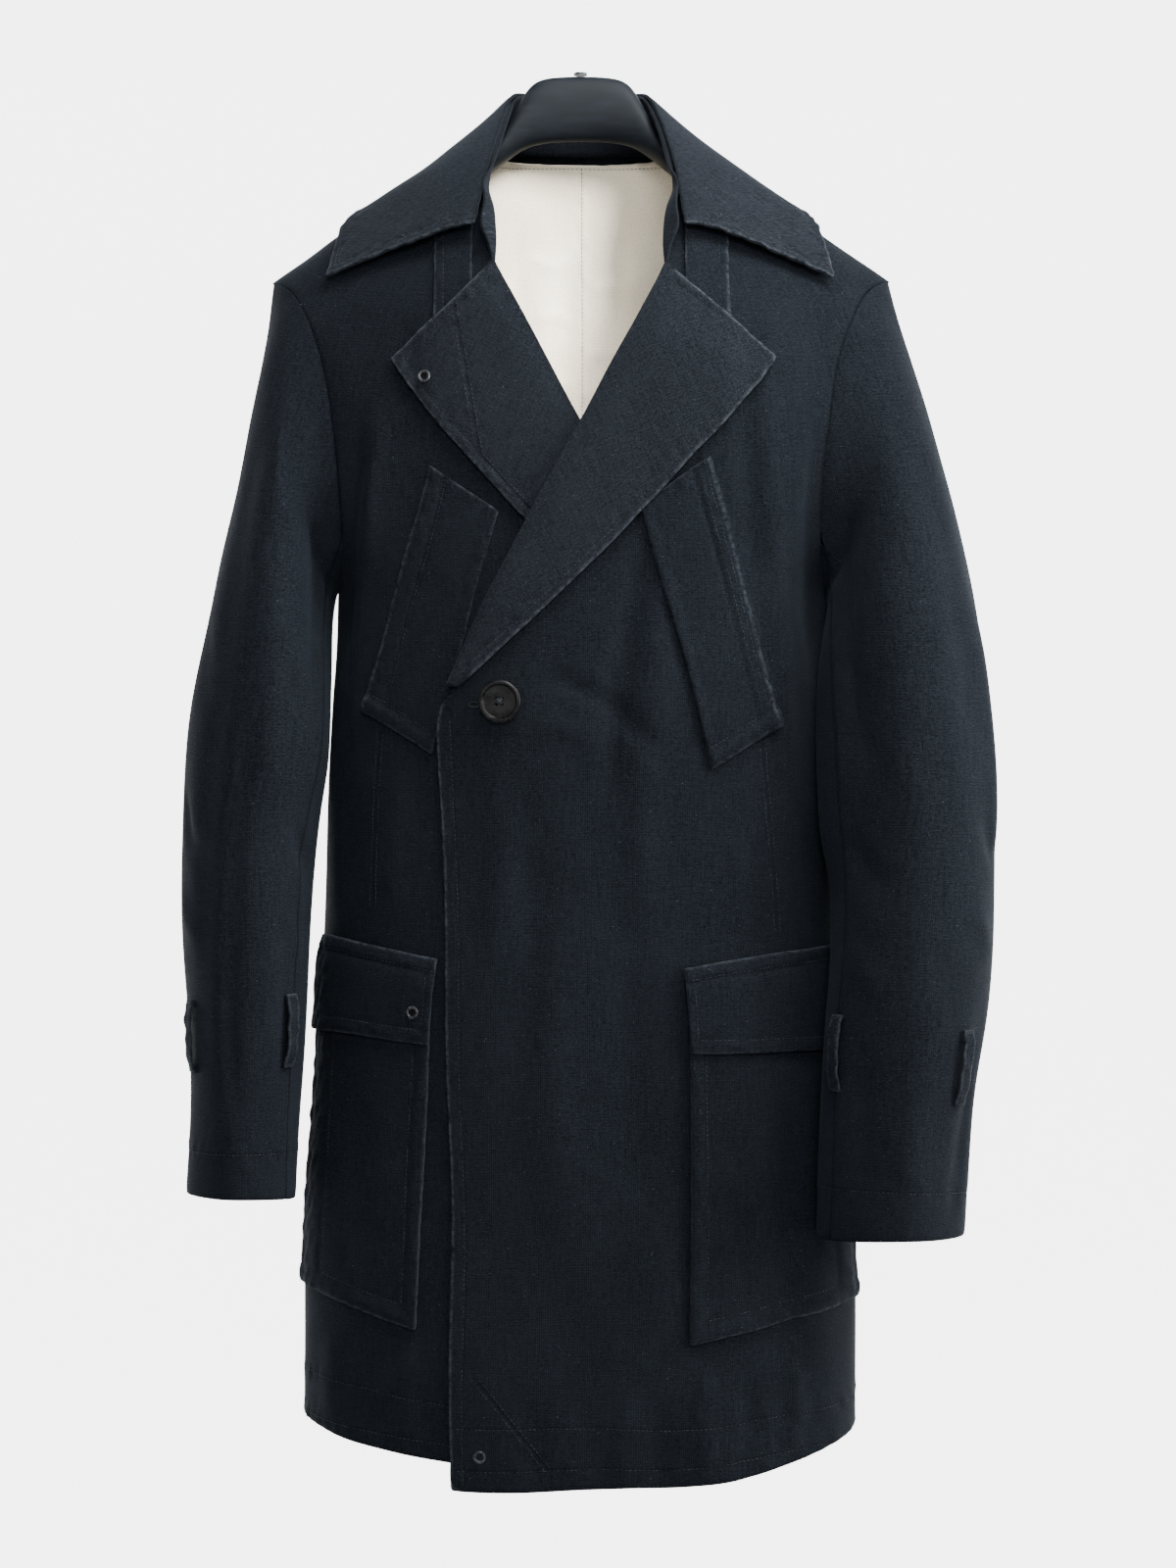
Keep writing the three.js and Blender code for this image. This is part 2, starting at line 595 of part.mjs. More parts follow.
// A four-cornered piece that lies on a front, from its points moved out
function layOnFront(piece, cols, rows, outAt) {
  const grid = [];
  for (let i = 0; i <= rows; i += 1) {
    const row = [];
    for (let j = 0; j <= cols; j += 1) {
      const across = Math.sin((j / cols) * (Math.PI / 2)) * 0.5 + (j / cols) * 0.5;
      const topX = mix(piece.innerTop[0], piece.outerTop[0], across);
      const topZ = mix(piece.innerTop[1], piece.outerTop[1], across);
      const lowX = mix(piece.innerLow[0], piece.outerLow[0], across);
      const lowZ = mix(piece.innerLow[1], piece.outerLow[1], across);
      const down = i / rows;
      row.push(frontPoint(piece.side, mix(topX, lowX, down), mix(topZ, lowZ, down), outAt(down)));
    }
    grid.push(row);
  }
  return grid;
}

function addLaidPiece(piece, cols, rows, thickness, lift, finish) {
  const outer = layOnFront(piece, cols, rows, (down) => lift(down) + thickness);
  const inner = layOnFront(piece, cols, rows, lift);
  addPiece(piece.name, wallBetween(outer, inner), finish);
}

function addFrontPieces() {
  const flat = () => LAY_GAP;
  const pocketLift = () => POCKET_GAP;
  const flapLift = (down) => mix(LAY_GAP, FLAP_LIFT, smooth(down / FLAP_RISE));
  WELTS.forEach((welt) => addLaidPiece(welt, 4, 9, PANEL_THICKNESS, flat, CANVAS));
  NECK_STRIPS.forEach((strip) => addLaidPiece(strip, 2, 5, STRIP_THICKNESS, flat, CANVAS));
  POCKETS.forEach((pocket) => addLaidPiece(pocket, 8, 10, POCKET_THICKNESS, pocketLift, CANVAS));
  FLAPS.forEach((flap) => addLaidPiece(flap, 8, 4, FLAP_THICKNESS, flapLift, CANVAS));
}

// A lapel folded back over its front, from the roll line out to its edge
function lapelGrid(side, extra) {
  const mirror = side === 'top' ? 1 : -1;
  const grid = [];
  for (let i = 0; i <= LAPEL_STEPS; i += 1) {
    const at = station(LAPEL, i / LAPEL_STEPS);
    const wide = Math.hypot(at.edgeX - at.rollX, at.edgeZ - at.rollZ);
    const row = [];
    for (let j = 0; j <= LAPEL_ROWS; j += 1) {
      const even = j / LAPEL_ROWS;
      const share = even * even * 0.6 + even * 0.4;
      const lap = -(1 - share) * (LAPEL_ROLL_OVER / wide);
      const x = mix(at.rollX, at.edgeX, share + lap);
      const z = mix(at.rollZ, at.edgeZ, share + lap);
      const rise = mix(LAPEL_LIFT.roll, LAPEL_LIFT.out, smooth(share / LAPEL_LIFT.share));
      row.push(frontPoint(side, mirror * x, z, rise + extra));
    }
    grid.push(row);
  }
  return grid;
}

function addLapels() {
  for (const [name, side] of [['lapel_left', 'top'], ['lapel_right', 'under']]) {
    addPiece(name, wallBetween(lapelGrid(side, LAPEL_THICKNESS), lapelGrid(side, 0)), COLLAR_CANVAS);
  }
}

// The collar's fold line and edge at a share from one front end (-1) to the other (1)
function collarStation(share) {
  const at = station(COLLAR, Math.abs(share));
  const mirror = share < 0 ? -1 : 1;
  return {
    roll: new THREE.Vector3(mirror * at.rollX, at.rollY, at.rollZ),
    edge: new THREE.Vector3(mirror * at.edgeX, at.edgeY, at.edgeZ),
  };
}

// Lifts a grid's points where the straight lines between them would cut into the body
function liftChords(grid, clear) {
  const lift = (a, b) => {
    for (const share of [0.25, 0.5, 0.75]) {
      const on = a.clone().lerp(b, share);
      const away = clearBody(on.clone(), clear).sub(on);
      a.add(away);
      b.add(away);
    }
  };
  for (let turn = 0; turn < COLLAR_PASSES; turn += 1) {
    for (let i = 0; i < grid.length; i += 1) {
      for (let j = 0; j < grid[0].length; j += 1) {
        if (i + 1 < grid.length) lift(grid[i][j], grid[i + 1][j]);
        if (j + 1 < grid[0].length) lift(grid[i][j], grid[i][j + 1]);
        if (i + 1 < grid.length && j + 1 < grid[0].length) {
          lift(grid[i][j], grid[i + 1][j + 1]);
          lift(grid[i + 1][j], grid[i][j + 1]);
        }
      }
    }
  }
  return grid;
}

function collarFallGrid() {
  const grid = [];
  for (let i = -COLLAR_STEPS; i <= COLLAR_STEPS; i += 1) {
    const at = collarStation(i / COLLAR_STEPS);
    const outwards = at.edge.clone().sub(at.roll).setZ(0).normalize();
    const row = [];
    for (let j = 0; j <= COLLAR_ROWS; j += 1) {
      const share = j / COLLAR_ROWS;
      const point = at.roll.clone().lerp(at.edge, share);
      point.z += COLLAR_SWELL * Math.sin(Math.PI * Math.sqrt(share)) + STAND_THICKNESS * (1 - share);
      point.addScaledVector(outwards, (STAND_THICKNESS + 1) * (1 - share));
      row.push(clearBody(point, COLLAR_CLEAR + COLLAR_THICKNESS));
    }
    grid.push(row);
  }
  return liftChords(grid, COLLAR_THICKNESS + COLLAR_CHORD_CLEAR);
}

// The neckline at a share from the centre back (0) to the gorge (1), moved in to the neck
function necklinePoint(share, mirror) {
  const split = NECKLINE.backShare;
  const back = share < split;
  const table = back ? BACK_INNER.slice(6) : FRONT_INNER.slice(6).reverse();
  const at = station(table, back ? share / split : (share - split) / (1 - split));
  const outFrom = 1 - NECKLINE.outFade;
  const out = mix(-PANEL_THICKNESS / 2, STAND_END_OUT, smooth((share - outFrom) / NECKLINE.outFade));
  const point = surfacePoint(mirror * at.x, at.z, out, back);
  const inwards = new THREE.Vector3(-point.x, Math.min(STAND_MIDDLE - point.y, 0), 0).normalize();
  const front = smooth((share - NECKLINE.insetFrom) / NECKLINE.insetFade);
  return point.addScaledVector(inwards, mix(STAND_INSET.back, STAND_INSET.end, front));
}

function collarStandGrid() {
  const grid = [];
  for (let i = -COLLAR_STEPS; i <= COLLAR_STEPS; i += 1) {
    const share = i / COLLAR_STEPS;
    const top = collarStation(share).roll;
    const low = necklinePoint(Math.abs(share), share < 0 ? -1 : 1);
    const row = [];
    for (let j = 0; j <= STAND_ROWS; j += 1) {
      const up = mix(STAND_FOOT, 1, j / STAND_ROWS);
      row.push(low.clone().lerp(top, up));
    }
    grid.push(row);
  }
  return grid;
}

function addCollar() {
  addPiece('collar_fall', wall(collarFallGrid(), COLLAR_THICKNESS, BACK), COLLAR_CANVAS);
  addPiece('collar_stand', wall(collarStandGrid(), STAND_THICKNESS, BACK), COLLAR_CANVAS);
}

// How far out a sleeve has to stay at a height and depth to clear the body
function bodyReach(y, z, clear) {
  const depth = lookUp(BODY, 'z', 'depth', z) * (y > 0 ? BACK_DEPTH_SHARE : 1) + clear;
  const share = Math.min(Math.abs(y) / depth, 1);
  return (lookUp(BODY, 'z', 'halfWidth', z) + clear) * (1 - share ** SECTION_POWER) ** (1 / SECTION_POWER);
}

function sleeveRingPoint(ring, angle, front) {
  const turn = THREE.MathUtils.degToRad(angle);
  const middleX = (ring.outX + ring.inX) / 2;
  const middleZ = (ring.outZ + ring.inZ) / 2;
  const ridge = front ? Math.exp(-(((angle - SLEEVE_CREASE.angle) / SLEEVE_CREASE.spread) ** 2)) : 0;
  const depth = ring.halfDepth + SLEEVE_CREASE.height * ridge;
  const point = new THREE.Vector3(
    middleX + ((ring.outX - ring.inX) / 2) * Math.cos(turn),
    ring.middleY + (front ? -1 : 1) * depth * Math.sin(turn),
    middleZ + ((ring.outZ - ring.inZ) / 2) * Math.cos(turn),
  );
  if (point.z < ARMHOLE[0].z) {
    const low = smooth((SLEEVE_CLEAR.fromZ - point.z) / (SLEEVE_CLEAR.fromZ - SLEEVE_CLEAR.fullZ));
    const clear = mix(SLEEVE_CLEAR.upper, SLEEVE_CLEAR.pocket, point.y < SLEEVE_CLEAR.frontY ? low : 0);
    point.x = Math.max(point.x, bodyReach(point.y, point.z, clear));
  }
  return point;
}

// Rings of a whole sleeve, outside and inside: armpit, front, shoulder tip, back, armpit
function sleeveLayers(rings, mirror) {
  const count = SLEEVE_ANGLES.length;
  const columns = [];
  for (let j = 0; j < count; j += 1) columns.push({ angle: SLEEVE_ANGLES[j], hole: j, front: true });
  for (let j = count - 2; j >= 0; j -= 1) columns.push({ angle: SLEEVE_ANGLES[j], hole: j, front: false });
  const holeRow = (out) => columns.map((c) => {
    const at = ARMHOLE[c.hole];
    return keepSide(surfacePoint(at.x, at.z, out, !c.front), c.front ? -1 : 1);
  });
  const outer = rings.map((ring) => columns.map((c) => sleeveRingPoint(ring, c.angle, c.front)));
  outer.unshift(holeRow(0));
  const last = columns.length - 1;
  const inner = outer.map((row, i) => row.map((p, j) => {
    const before = row[j === 0 ? last - 1 : j - 1];
    const after = row[j === last ? 1 : j + 1];
    const down = outer[Math.min(i + 1, outer.length - 1)][j].clone().sub(outer[Math.max(i - 1, 0)][j]);
    const inwards = after.clone().sub(before).cross(down).normalize();
    if (inwards.dot(p.clone().sub(row[0].clone().lerp(row[count - 1], 0.5))) > 0) inwards.negate();
    return p.clone().addScaledVector(inwards, PANEL_THICKNESS);
  }));
  inner[0] = holeRow(-PANEL_THICKNESS);
  for (const grid of [outer, inner]) grid.forEach((row) => row.forEach((p) => p.setX(mirror * p.x)));
  return { outer, inner };
}

function addSleeve(word, rings, mirror) {
  const { outer, inner } = sleeveLayers(rings, mirror);
  const backSeam = outer[0].length - 1 - BACK_SEAM_COLUMN;
  const upper = (grid) => trimRim(grid.map((row) => row.slice(FRONT_SEAM_COLUMN, backSeam + 1)));
  const under = (grid) => trimRim(grid.map((row) => (
    [...row.slice(backSeam), ...row.slice(1, FRONT_SEAM_COLUMN + 1)]
  )));
  addPiece(`sleeve_upper_${word}`, wallBetween(upper(outer), upper(inner)), CANVAS);
  addPiece(`sleeve_under_${word}`, wallBetween(under(outer), under(inner)), CANVAS);
}

// A point on a sleeve by its angle round the arm and its height, with its way out
function sleevePoint(rings, mirror, angle, z) {
  const at = (a, height) => {
    const turn = Math.cos(THREE.MathUtils.degToRad(a));
    const lines = rings.map((ring) => ({
      ...ring,
      height: (ring.outZ + ring.inZ) / 2 + ((ring.outZ - ring.inZ) / 2) * turn,
    }));
    const ring = {};
    for (const column of Object.keys(rings[0])) ring[column] = lookUp(lines, 'height', column, height);
    const point = sleeveRingPoint(ring, a, true);
    point.x *= mirror;
    return point;
  };
  const point = at(angle, z);
  const round = at(angle + SLEEVE_STEP.angle, z).sub(at(angle - SLEEVE_STEP.angle, z));
  const down = at(angle, z - SLEEVE_STEP.height).sub(at(angle, z + SLEEVE_STEP.height));
  const normal = round.clone().cross(down).normalize();
  if (normal.y > 0) normal.negate();
  return { point, normal, round: round.normalize() };
}

function addCuffLoops() {
  for (const loop of CUFF_LOOPS) {
    const rings = loop.sleeve === 'left' ? SLEEVE_LEFT : SLEEVE_RIGHT;
    const mirror = loop.sleeve === 'left' ? 1 : -1;
    const layer = (thick) => Array.from({ length: LOOP.steps + 1 }, (_, i) => {
      const share = i / LOOP.steps;
      const at = sleevePoint(rings, mirror, loop.angle, mix(loop.topZ, loop.lowZ, share));
      const stand = LOOP.foot + LOOP.gap * smooth(Math.min(share, 1 - share) / LOOP.rise);
      return [-0.5, 0, 0.5].map((w) => at.point.clone()
        .addScaledVector(at.round, w * LOOP.width)
        .addScaledVector(at.normal, stand + thick));
    });
    addPiece(loop.name, wallBetween(layer(LOOP.thickness), layer(0)), CANVAS);
  }
}

// Stands a turned piece on a surface: its axis follows the surface's way out
function seat(mesh, base, above) {
  mesh.position.copy(base);
  const axis = above.clone().sub(base).normalize();
  mesh.quaternion.setFromUnitVectors(new THREE.Vector3(0, 1, 0), axis);
}

function addButton() {
  const profile = [
    new THREE.Vector2(0, 0),
    new THREE.Vector2(BUTTON.radius - BUTTON.footInset, 0),
    new THREE.Vector2(BUTTON.radius, BUTTON.footHeight),
    new THREE.Vector2(BUTTON.radius, BUTTON.thickness - BUTTON.edgeDrop),
    new THREE.Vector2(BUTTON.radius - BUTTON.edgeInset, BUTTON.thickness),
    new THREE.Vector2(BUTTON.radius - BUTTON.rim, BUTTON.thickness),
    new THREE.Vector2(BUTTON.radius - BUTTON.rim - BUTTON.dishSlope, BUTTON.thickness - BUTTON.dish),
    new THREE.Vector2(0, BUTTON.thickness - BUTTON.dish),
  ];
  const button = addPiece('button', new THREE.LatheGeometry(profile, BUTTON.sides), HORN);
  const base = frontPoint('top', BUTTON.x, BUTTON.z, BUTTON.gap);
  seat(button, base, frontPoint('top', BUTTON.x, BUTTON.z, BUTTON.gap + SEAT_REACH));
}

// How far above its front each eyelet's cloth lies
function eyeletSeat(eyelet) {
  if (eyelet.name === 'eyelet_lapel') {
    return { side: 'under', out: LAPEL_LIFT.out + LAPEL_THICKNESS };
  }
  if (eyelet.name === 'eyelet_flap') return { side: 'under', out: FLAP_LIFT + FLAP_THICKNESS };
  return { side: 'top', out: 0 };
}

function addEyelets() {
  const profile = [
    new THREE.Vector2(EYELET.inner, 0),
    new THREE.Vector2(EYELET.outer, 0),
    new THREE.Vector2(EYELET.outer - EYELET.outerInset, EYELET.height * EYELET.outerShare),
    new THREE.Vector2((EYELET.outer + EYELET.inner) / 2, EYELET.height),
    new THREE.Vector2(EYELET.inner + EYELET.innerInset, EYELET.height * EYELET.innerShare),
    new THREE.Vector2(EYELET.inner, 0),
  ];
  for (const eyelet of EYELETS) {
    const ring = addPiece(eyelet.name, new THREE.LatheGeometry(profile, EYELET.sides), DARK_METAL);
    const { side, out } = eyeletSeat(eyelet);
    const base = frontPoint(side, eyelet.x, eyelet.z, out + EYELET.gap);
    seat(ring, base, frontPoint(side, eyelet.x, eyelet.z, out + EYELET.gap + SEAT_REACH));
  }
}

function addHanger() {
  const sections = [...HANGER.slice(1).reverse().map((s) => ({ ...s, x: -s.x })), ...HANGER];
  const points = [];
  for (const section of sections) {
    const middle = (section.top + section.low) / 2;
    const halfHeight = (section.top - section.low) / 2;
    for (let k = 0; k < HANGER_SIDES; k += 1) {
      const turn = (k / HANGER_SIDES) * 2 * Math.PI;
      const [c, s] = [Math.cos(turn), Math.sin(turn)];
      const squareness = 2 / HANGER_POWER;
      const y = Math.sign(c) * Math.abs(c) ** squareness * section.halfDepth;
      const z = middle + Math.sign(s) * Math.abs(s) ** squareness * halfHeight;
      points.push(new THREE.Vector3(section.x, y, z));
    }
  }
  const faces = [];
  const at = (i, k) => i * HANGER_SIDES + (k % HANGER_SIDES);
  for (let i = 0; i < sections.length - 1; i += 1) {
    for (let k = 0; k < HANGER_SIDES; k += 1) {
      faces.push(at(i, k), at(i + 1, k), at(i + 1, k + 1));
      faces.push(at(i, k), at(i + 1, k + 1), at(i, k + 1));
    }
  }
  const end = sections.length - 1;
  for (let k = 1; k < HANGER_SIDES - 1; k += 1) {
    faces.push(at(0, 0), at(0, k), at(0, k + 1));
    faces.push(at(end, 0), at(end, k + 1), at(end, k));
  }
  addPiece('hanger', closedGeometry(points, faces), BLACK_PLASTIC);
  const socket = new THREE.CylinderGeometry(SOCKET.radius, SOCKET.radius, SOCKET.height, SOCKET.sides);
  const mesh = addPiece('hook_socket', socket, DARK_METAL);
  mesh.rotation.x = Math.PI / 2;
  mesh.position.z = -SOCKET.height / 2;
}

function addLining() {
  const backPart = BACK_INNER.slice(6);
  const layer = (out) => Array.from({ length: LINING.rows + 1 }, (_, i) => {
    const down = i / LINING.rows;
    return Array.from({ length: LINING.columns + 1 }, (_unused, j) => {
      const across = (2 * j) / LINING.columns - 1;
      const topZ = lookUp(backPart, 'x', 'z', Math.abs(across) * LINING.topHalf) - LINING.topDrop;
      const x = across * mix(LINING.topHalf, LINING.lowHalf, Math.sqrt(down));
      return surfacePoint(x, mix(topZ, LINING.lowZ, down), -out, true);
    });
  });
  const face = PANEL_THICKNESS + LINING.inset;
  addPiece('lining_back', wallBetween(layer(face), layer(face + LINING_THICKNESS)), LINING_CLOTH);
}

addBody();
addFrontPieces();
addLapels();
addCollar();
addSleeve('left', SLEEVE_LEFT, 1);
addSleeve('right', SLEEVE_RIGHT, -1);
addCuffLoops();
addButton();
addEyelets();
addHanger();
addLining();

export default coat;
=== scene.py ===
"""The moto coat on its display hanger: cloth shells, sewing, button, eyelets, studio and camera."""

import math

import bmesh
import bpy
import numpy as np
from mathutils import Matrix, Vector
from mathutils.kdtree import KDTree


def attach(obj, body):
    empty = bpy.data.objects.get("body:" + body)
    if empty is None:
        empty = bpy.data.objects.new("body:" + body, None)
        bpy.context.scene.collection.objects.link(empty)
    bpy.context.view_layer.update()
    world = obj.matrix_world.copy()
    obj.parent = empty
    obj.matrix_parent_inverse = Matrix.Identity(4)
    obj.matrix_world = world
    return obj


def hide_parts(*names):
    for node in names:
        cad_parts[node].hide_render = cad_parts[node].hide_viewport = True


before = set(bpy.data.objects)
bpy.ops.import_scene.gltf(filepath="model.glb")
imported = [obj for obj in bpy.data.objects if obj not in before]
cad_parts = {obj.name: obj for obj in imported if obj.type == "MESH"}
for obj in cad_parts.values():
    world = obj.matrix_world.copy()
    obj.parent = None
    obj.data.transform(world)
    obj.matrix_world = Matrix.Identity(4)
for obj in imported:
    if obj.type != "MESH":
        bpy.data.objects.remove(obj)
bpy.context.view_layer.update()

MM = 0.001
ROOT = "root"

# Camera: the photograph's place, level, looking along +Y
CAMERA_AT = (0.0057, -2.8, -0.534)
HALF_VIEW = 0.568
VIEW_DISTANCE = 2.7
SENSOR = 36.0

# Body size and the collar's heart in mm, which set the directions that count as outward
BODY_HALF_WIDTH = 190.0
BODY_HALF_DEPTH = 110.0
COLLAR_HEART = (0.0, 10.0, -190.0)

# Middle lines of the sleeves in mm: height, across, depth
SLEEVE_LINES = {
    "right": [(-200, -185, 0), (-300, -215, -20), (-550, -245, -45), (-830, -245, -65)],
    "left": [(-200, 190, 0), (-300, 225, -20), (-550, 250, -52), (-860, 222, -95)],
}
SLEEVE_HALF_ROUND = 62.0

# Cloth: levels of subdivision, flat width and length of the cut in metres, its area, how it is held
CLOTH = {
    "front_left": (3, 0.40, 0.92, 0.284, "hung"),
    "front_right": (3, 0.39, 0.92, 0.274, "hung"),
    "back_left": (3, 0.27, 0.95, 0.218, "hung"),
    "back_right": (3, 0.27, 0.95, 0.217, "hung"),
    "chest_welt_right": (3, 0.062, 0.20, 0.0111, "laid"),
    "chest_welt_left": (3, 0.065, 0.21, 0.0122, "laid"),
    "neck_strip_right": (3, 0.033, 0.10, 0.0032, "laid"),
    "neck_strip_left": (3, 0.036, 0.10, 0.0036, "laid"),
    "pocket_right": (3, 0.115, 0.25, 0.0266, "laid"),
    "pocket_left": (3, 0.15, 0.25, 0.0351, "laid"),
    "flap_right": (3, 0.115, 0.075, 0.0079, "hung"),
    "flap_left": (3, 0.15, 0.075, 0.0105, "hung"),
    "lapel_left": (3, 0.155, 0.34, 0.0221, "folded"),
    "lapel_right": (3, 0.155, 0.22, 0.0217, "folded"),
    "collar_fall": (3, 0.56, 0.13, 0.0503, "folded"),
    "collar_stand": (2, 0.40, 0.035, 0.0109, "folded"),
    "sleeve_upper_left": (3, 0.24, 0.70, 0.1385, "hung"),
    "sleeve_under_left": (3, 0.20, 0.66, 0.107, "hung"),
    "sleeve_upper_right": (3, 0.22, 0.68, 0.118, "hung"),
    "sleeve_under_right": (3, 0.18, 0.64, 0.0905, "hung"),
    "lining_back": (3, 0.32, 0.22, 0.057, "hung"),
}
CUFF_LOOPS = [
    "cuff_loop_" + place for place in ("right_outer", "right_inner", "left_inner", "left_outer")
]
CLOTH.update({loop: (2, 0.0125, 0.06, 0.00063, "laid") for loop in CUFF_LOOPS})
COLLAR_CLOTH = ("lapel_left", "lapel_right", "collar_fall", "collar_stand")

# Creases and soft folds in mm: path of x and z, half width, rise (a trough is below 0), fade at the ends
FRONT_CREASES = [
    ([(176, -250), (170, -330), (170, -400), (178, -480)], 8.5, -5.0, 60),
    ([(-158, -250), (-168, -323), (-175, -392), (-180, -470)], 8.0, -5.0, 60),
    ([(-143, -250), (-156, -340), (-164, -440), (-168, -540)], 7.0, 3.0, 70),
    ([(130, -210), (138, -320), (146, -430), (152, -560)], 9.0, 3.8, 70),
    ([(118, -240), (122, -330), (124, -420)], 8.0, -2.2, 60),
    ([(48, -350), (38, -415), (26, -475), (20, -560)], 9.0, -3.8, 45),
    ([(64, -370), (56, -440), (46, -520), (42, -640)], 12.0, 3.0, 70),
    ([(-36, -452), (-8, -462), (28, -480), (60, -520)], 7.0, -2.6, 26),
    ([(-38, -488), (-8, -494), (24, -508)], 7.0, 1.8, 26),
    ([(-62, -500), (-58, -580), (-66, -690)], 12.0, 2.0, 60),
    ([(-36, -540), (-34, -660), (-40, -780)], 12.0, -2.2, 80),
    ([(-16, -600), (-22, -760), (-14, -900)], 18.0, 3.0, 110),
    ([(36, -600), (32, -740), (44, -880)], 15.0, -3.0, 110),
    ([(160, -740), (150, -850), (156, -980)], 14.0, -2.6, 70),
    ([(-160, -745), (-166, -840), (-158, -900)], 13.0, -2.4, 50),
    ([(138, -745), (128, -840), (134, -915)], 12.0, 1.8, 50),
    ([(118, -950), (124, -1005), (120, -1050)], 8.0, -3.2, 26),
    ([(92, -950), (90, -1000), (94, -1050)], 9.0, 2.6, 26),
    ([(152, -945), (158, -990), (156, -1035)], 7.0, 2.6, 26),
    ([(60, -975), (56, -1015), (62, -1052)], 8.0, -1.6, 22),
    ([(34, -975), (30, -1020), (34, -1052)], 9.0, 1.8, 22),
    ([(-30, -985), (-34, -1020), (-30, -1052)], 8.0, -1.5, 20),
    ([(-150, -935), (-156, -980), (-154, -1020)], 8.0, -2.4, 26),
    ([(-124, -935), (-126, -980), (-128, -1025)], 9.0, 2.2, 26),
    ([(-180, -930), (-186, -975), (-184, -1010)], 8.0, 2.2, 26),
    ([(-128, -500), (-134, -570), (-140, -640)], 10.0, 2.4, 50),
    ([(-164, -520), (-168, -580), (-172, -640)], 9.0, -2.4, 45),
    ([(112, -560), (116, -610), (118, -655)], 9.0, 2.2, 35),
    ([(164, -540), (168, -600), (170, -650)], 9.0, -2.6, 45),
    ([(190, -390), (188, -430), (186, -480)], 12.0, 3.5, 16),
    ([(-132, -185), (-122, -240), (-120, -300)], 9.0, -2.4, 35),
    ([(128, -180), (122, -240), (124, -290)], 9.0, -2.2, 35),
]
BACK_CREASES = [
    ([(150, -230), (158, -320), (164, -410), (172, -500)], 10.0, -4.6, 70),
    ([(-150, -230), (-157, -330), (-165, -420), (-172, -510)], 10.0, -4.8, 70),
    ([(96, -190), (88, -300), (92, -420)], 14.0, 2.8, 80),
    ([(-100, -190), (-92, -290), (-95, -400)], 13.0, 2.5, 80),
    ([(60, -230), (54, -320), (60, -400)], 12.0, -2.0, 70),
    ([(-62, -220), (-58, -330), (-64, -420)], 12.0, -2.2, 70),
    ([(30, -120), (46, -150), (80, -170)], 8.0, -1.6, 26),
    ([(-30, -120), (-50, -152), (-86, -174)], 8.0, -1.5, 26),
    ([(20, -470), (70, -490), (120, -480)], 8.0, -2.2, 40),
    ([(-26, -500), (-66, -515), (-112, -498)], 8.0, -2.0, 36),
    ([(30, -520), (74, -540), (116, -532)], 9.0, 1.6, 36),
    ([(72, -560), (78, -760), (84, -1010)], 15.0, -3.8, 120),
    ([(-82, -540), (-84, -740), (-78, -1010)], 15.0, -4.0, 120),
    ([(24, -640), (28, -820), (22, -1010)], 14.0, 2.8, 120),
    ([(-26, -620), (-32, -800), (-28, -1010)], 13.0, 2.6, 120),
    ([(150, -700), (146, -860), (150, -1010)], 13.0, 3.4, 90),
    ([(-150, -720), (-148, -880), (-152, -1005)], 13.0, 3.2, 90),
    ([(118, -950), (122, -985), (120, -1015)], 8.0, -2.0, 24),
    ([(-52, -950), (-50, -985), (-54, -1015)], 8.0, -1.8, 24),
]

# The lining's creases, and how far it stands off the back in mm
LINING_LIFT = 0.8
LINING_CREASES = [
    ([(-30, -70), (-26, -150), (-20, -260)], 12.0, 2.2, 60),
    ([(-52, -90), (-46, -160), (-34, -240)], 8.0, -1.6, 50),
    ([(24, -80), (26, -150), (14, -270)], 11.0, -1.2, 60),
    ([(48, -70), (40, -150), (28, -230)], 9.0, 2.0, 60),
    ([(-8, -120), (-10, -200), (-6, -300)], 6.0, -1.4, 50),
    ([(-44, -128), (-22, -137), (-3, -131)], 4.0, 1.3, 14),
    ([(4, -158), (22, -150), (44, -157)], 4.0, 1.2, 14),
    ([(-38, -178), (-20, -172), (-2, -181)], 3.5, 1.4, 12),
    ([(3, -196), (16, -203), (34, -198)], 4.0, 1.3, 12),
    ([(-26, -219), (-12, -226), (-1, -221)], 3.5, 1.2, 9),
    ([(2, -236), (10, -231), (20, -237)], 3.5, 1.1, 7),
]

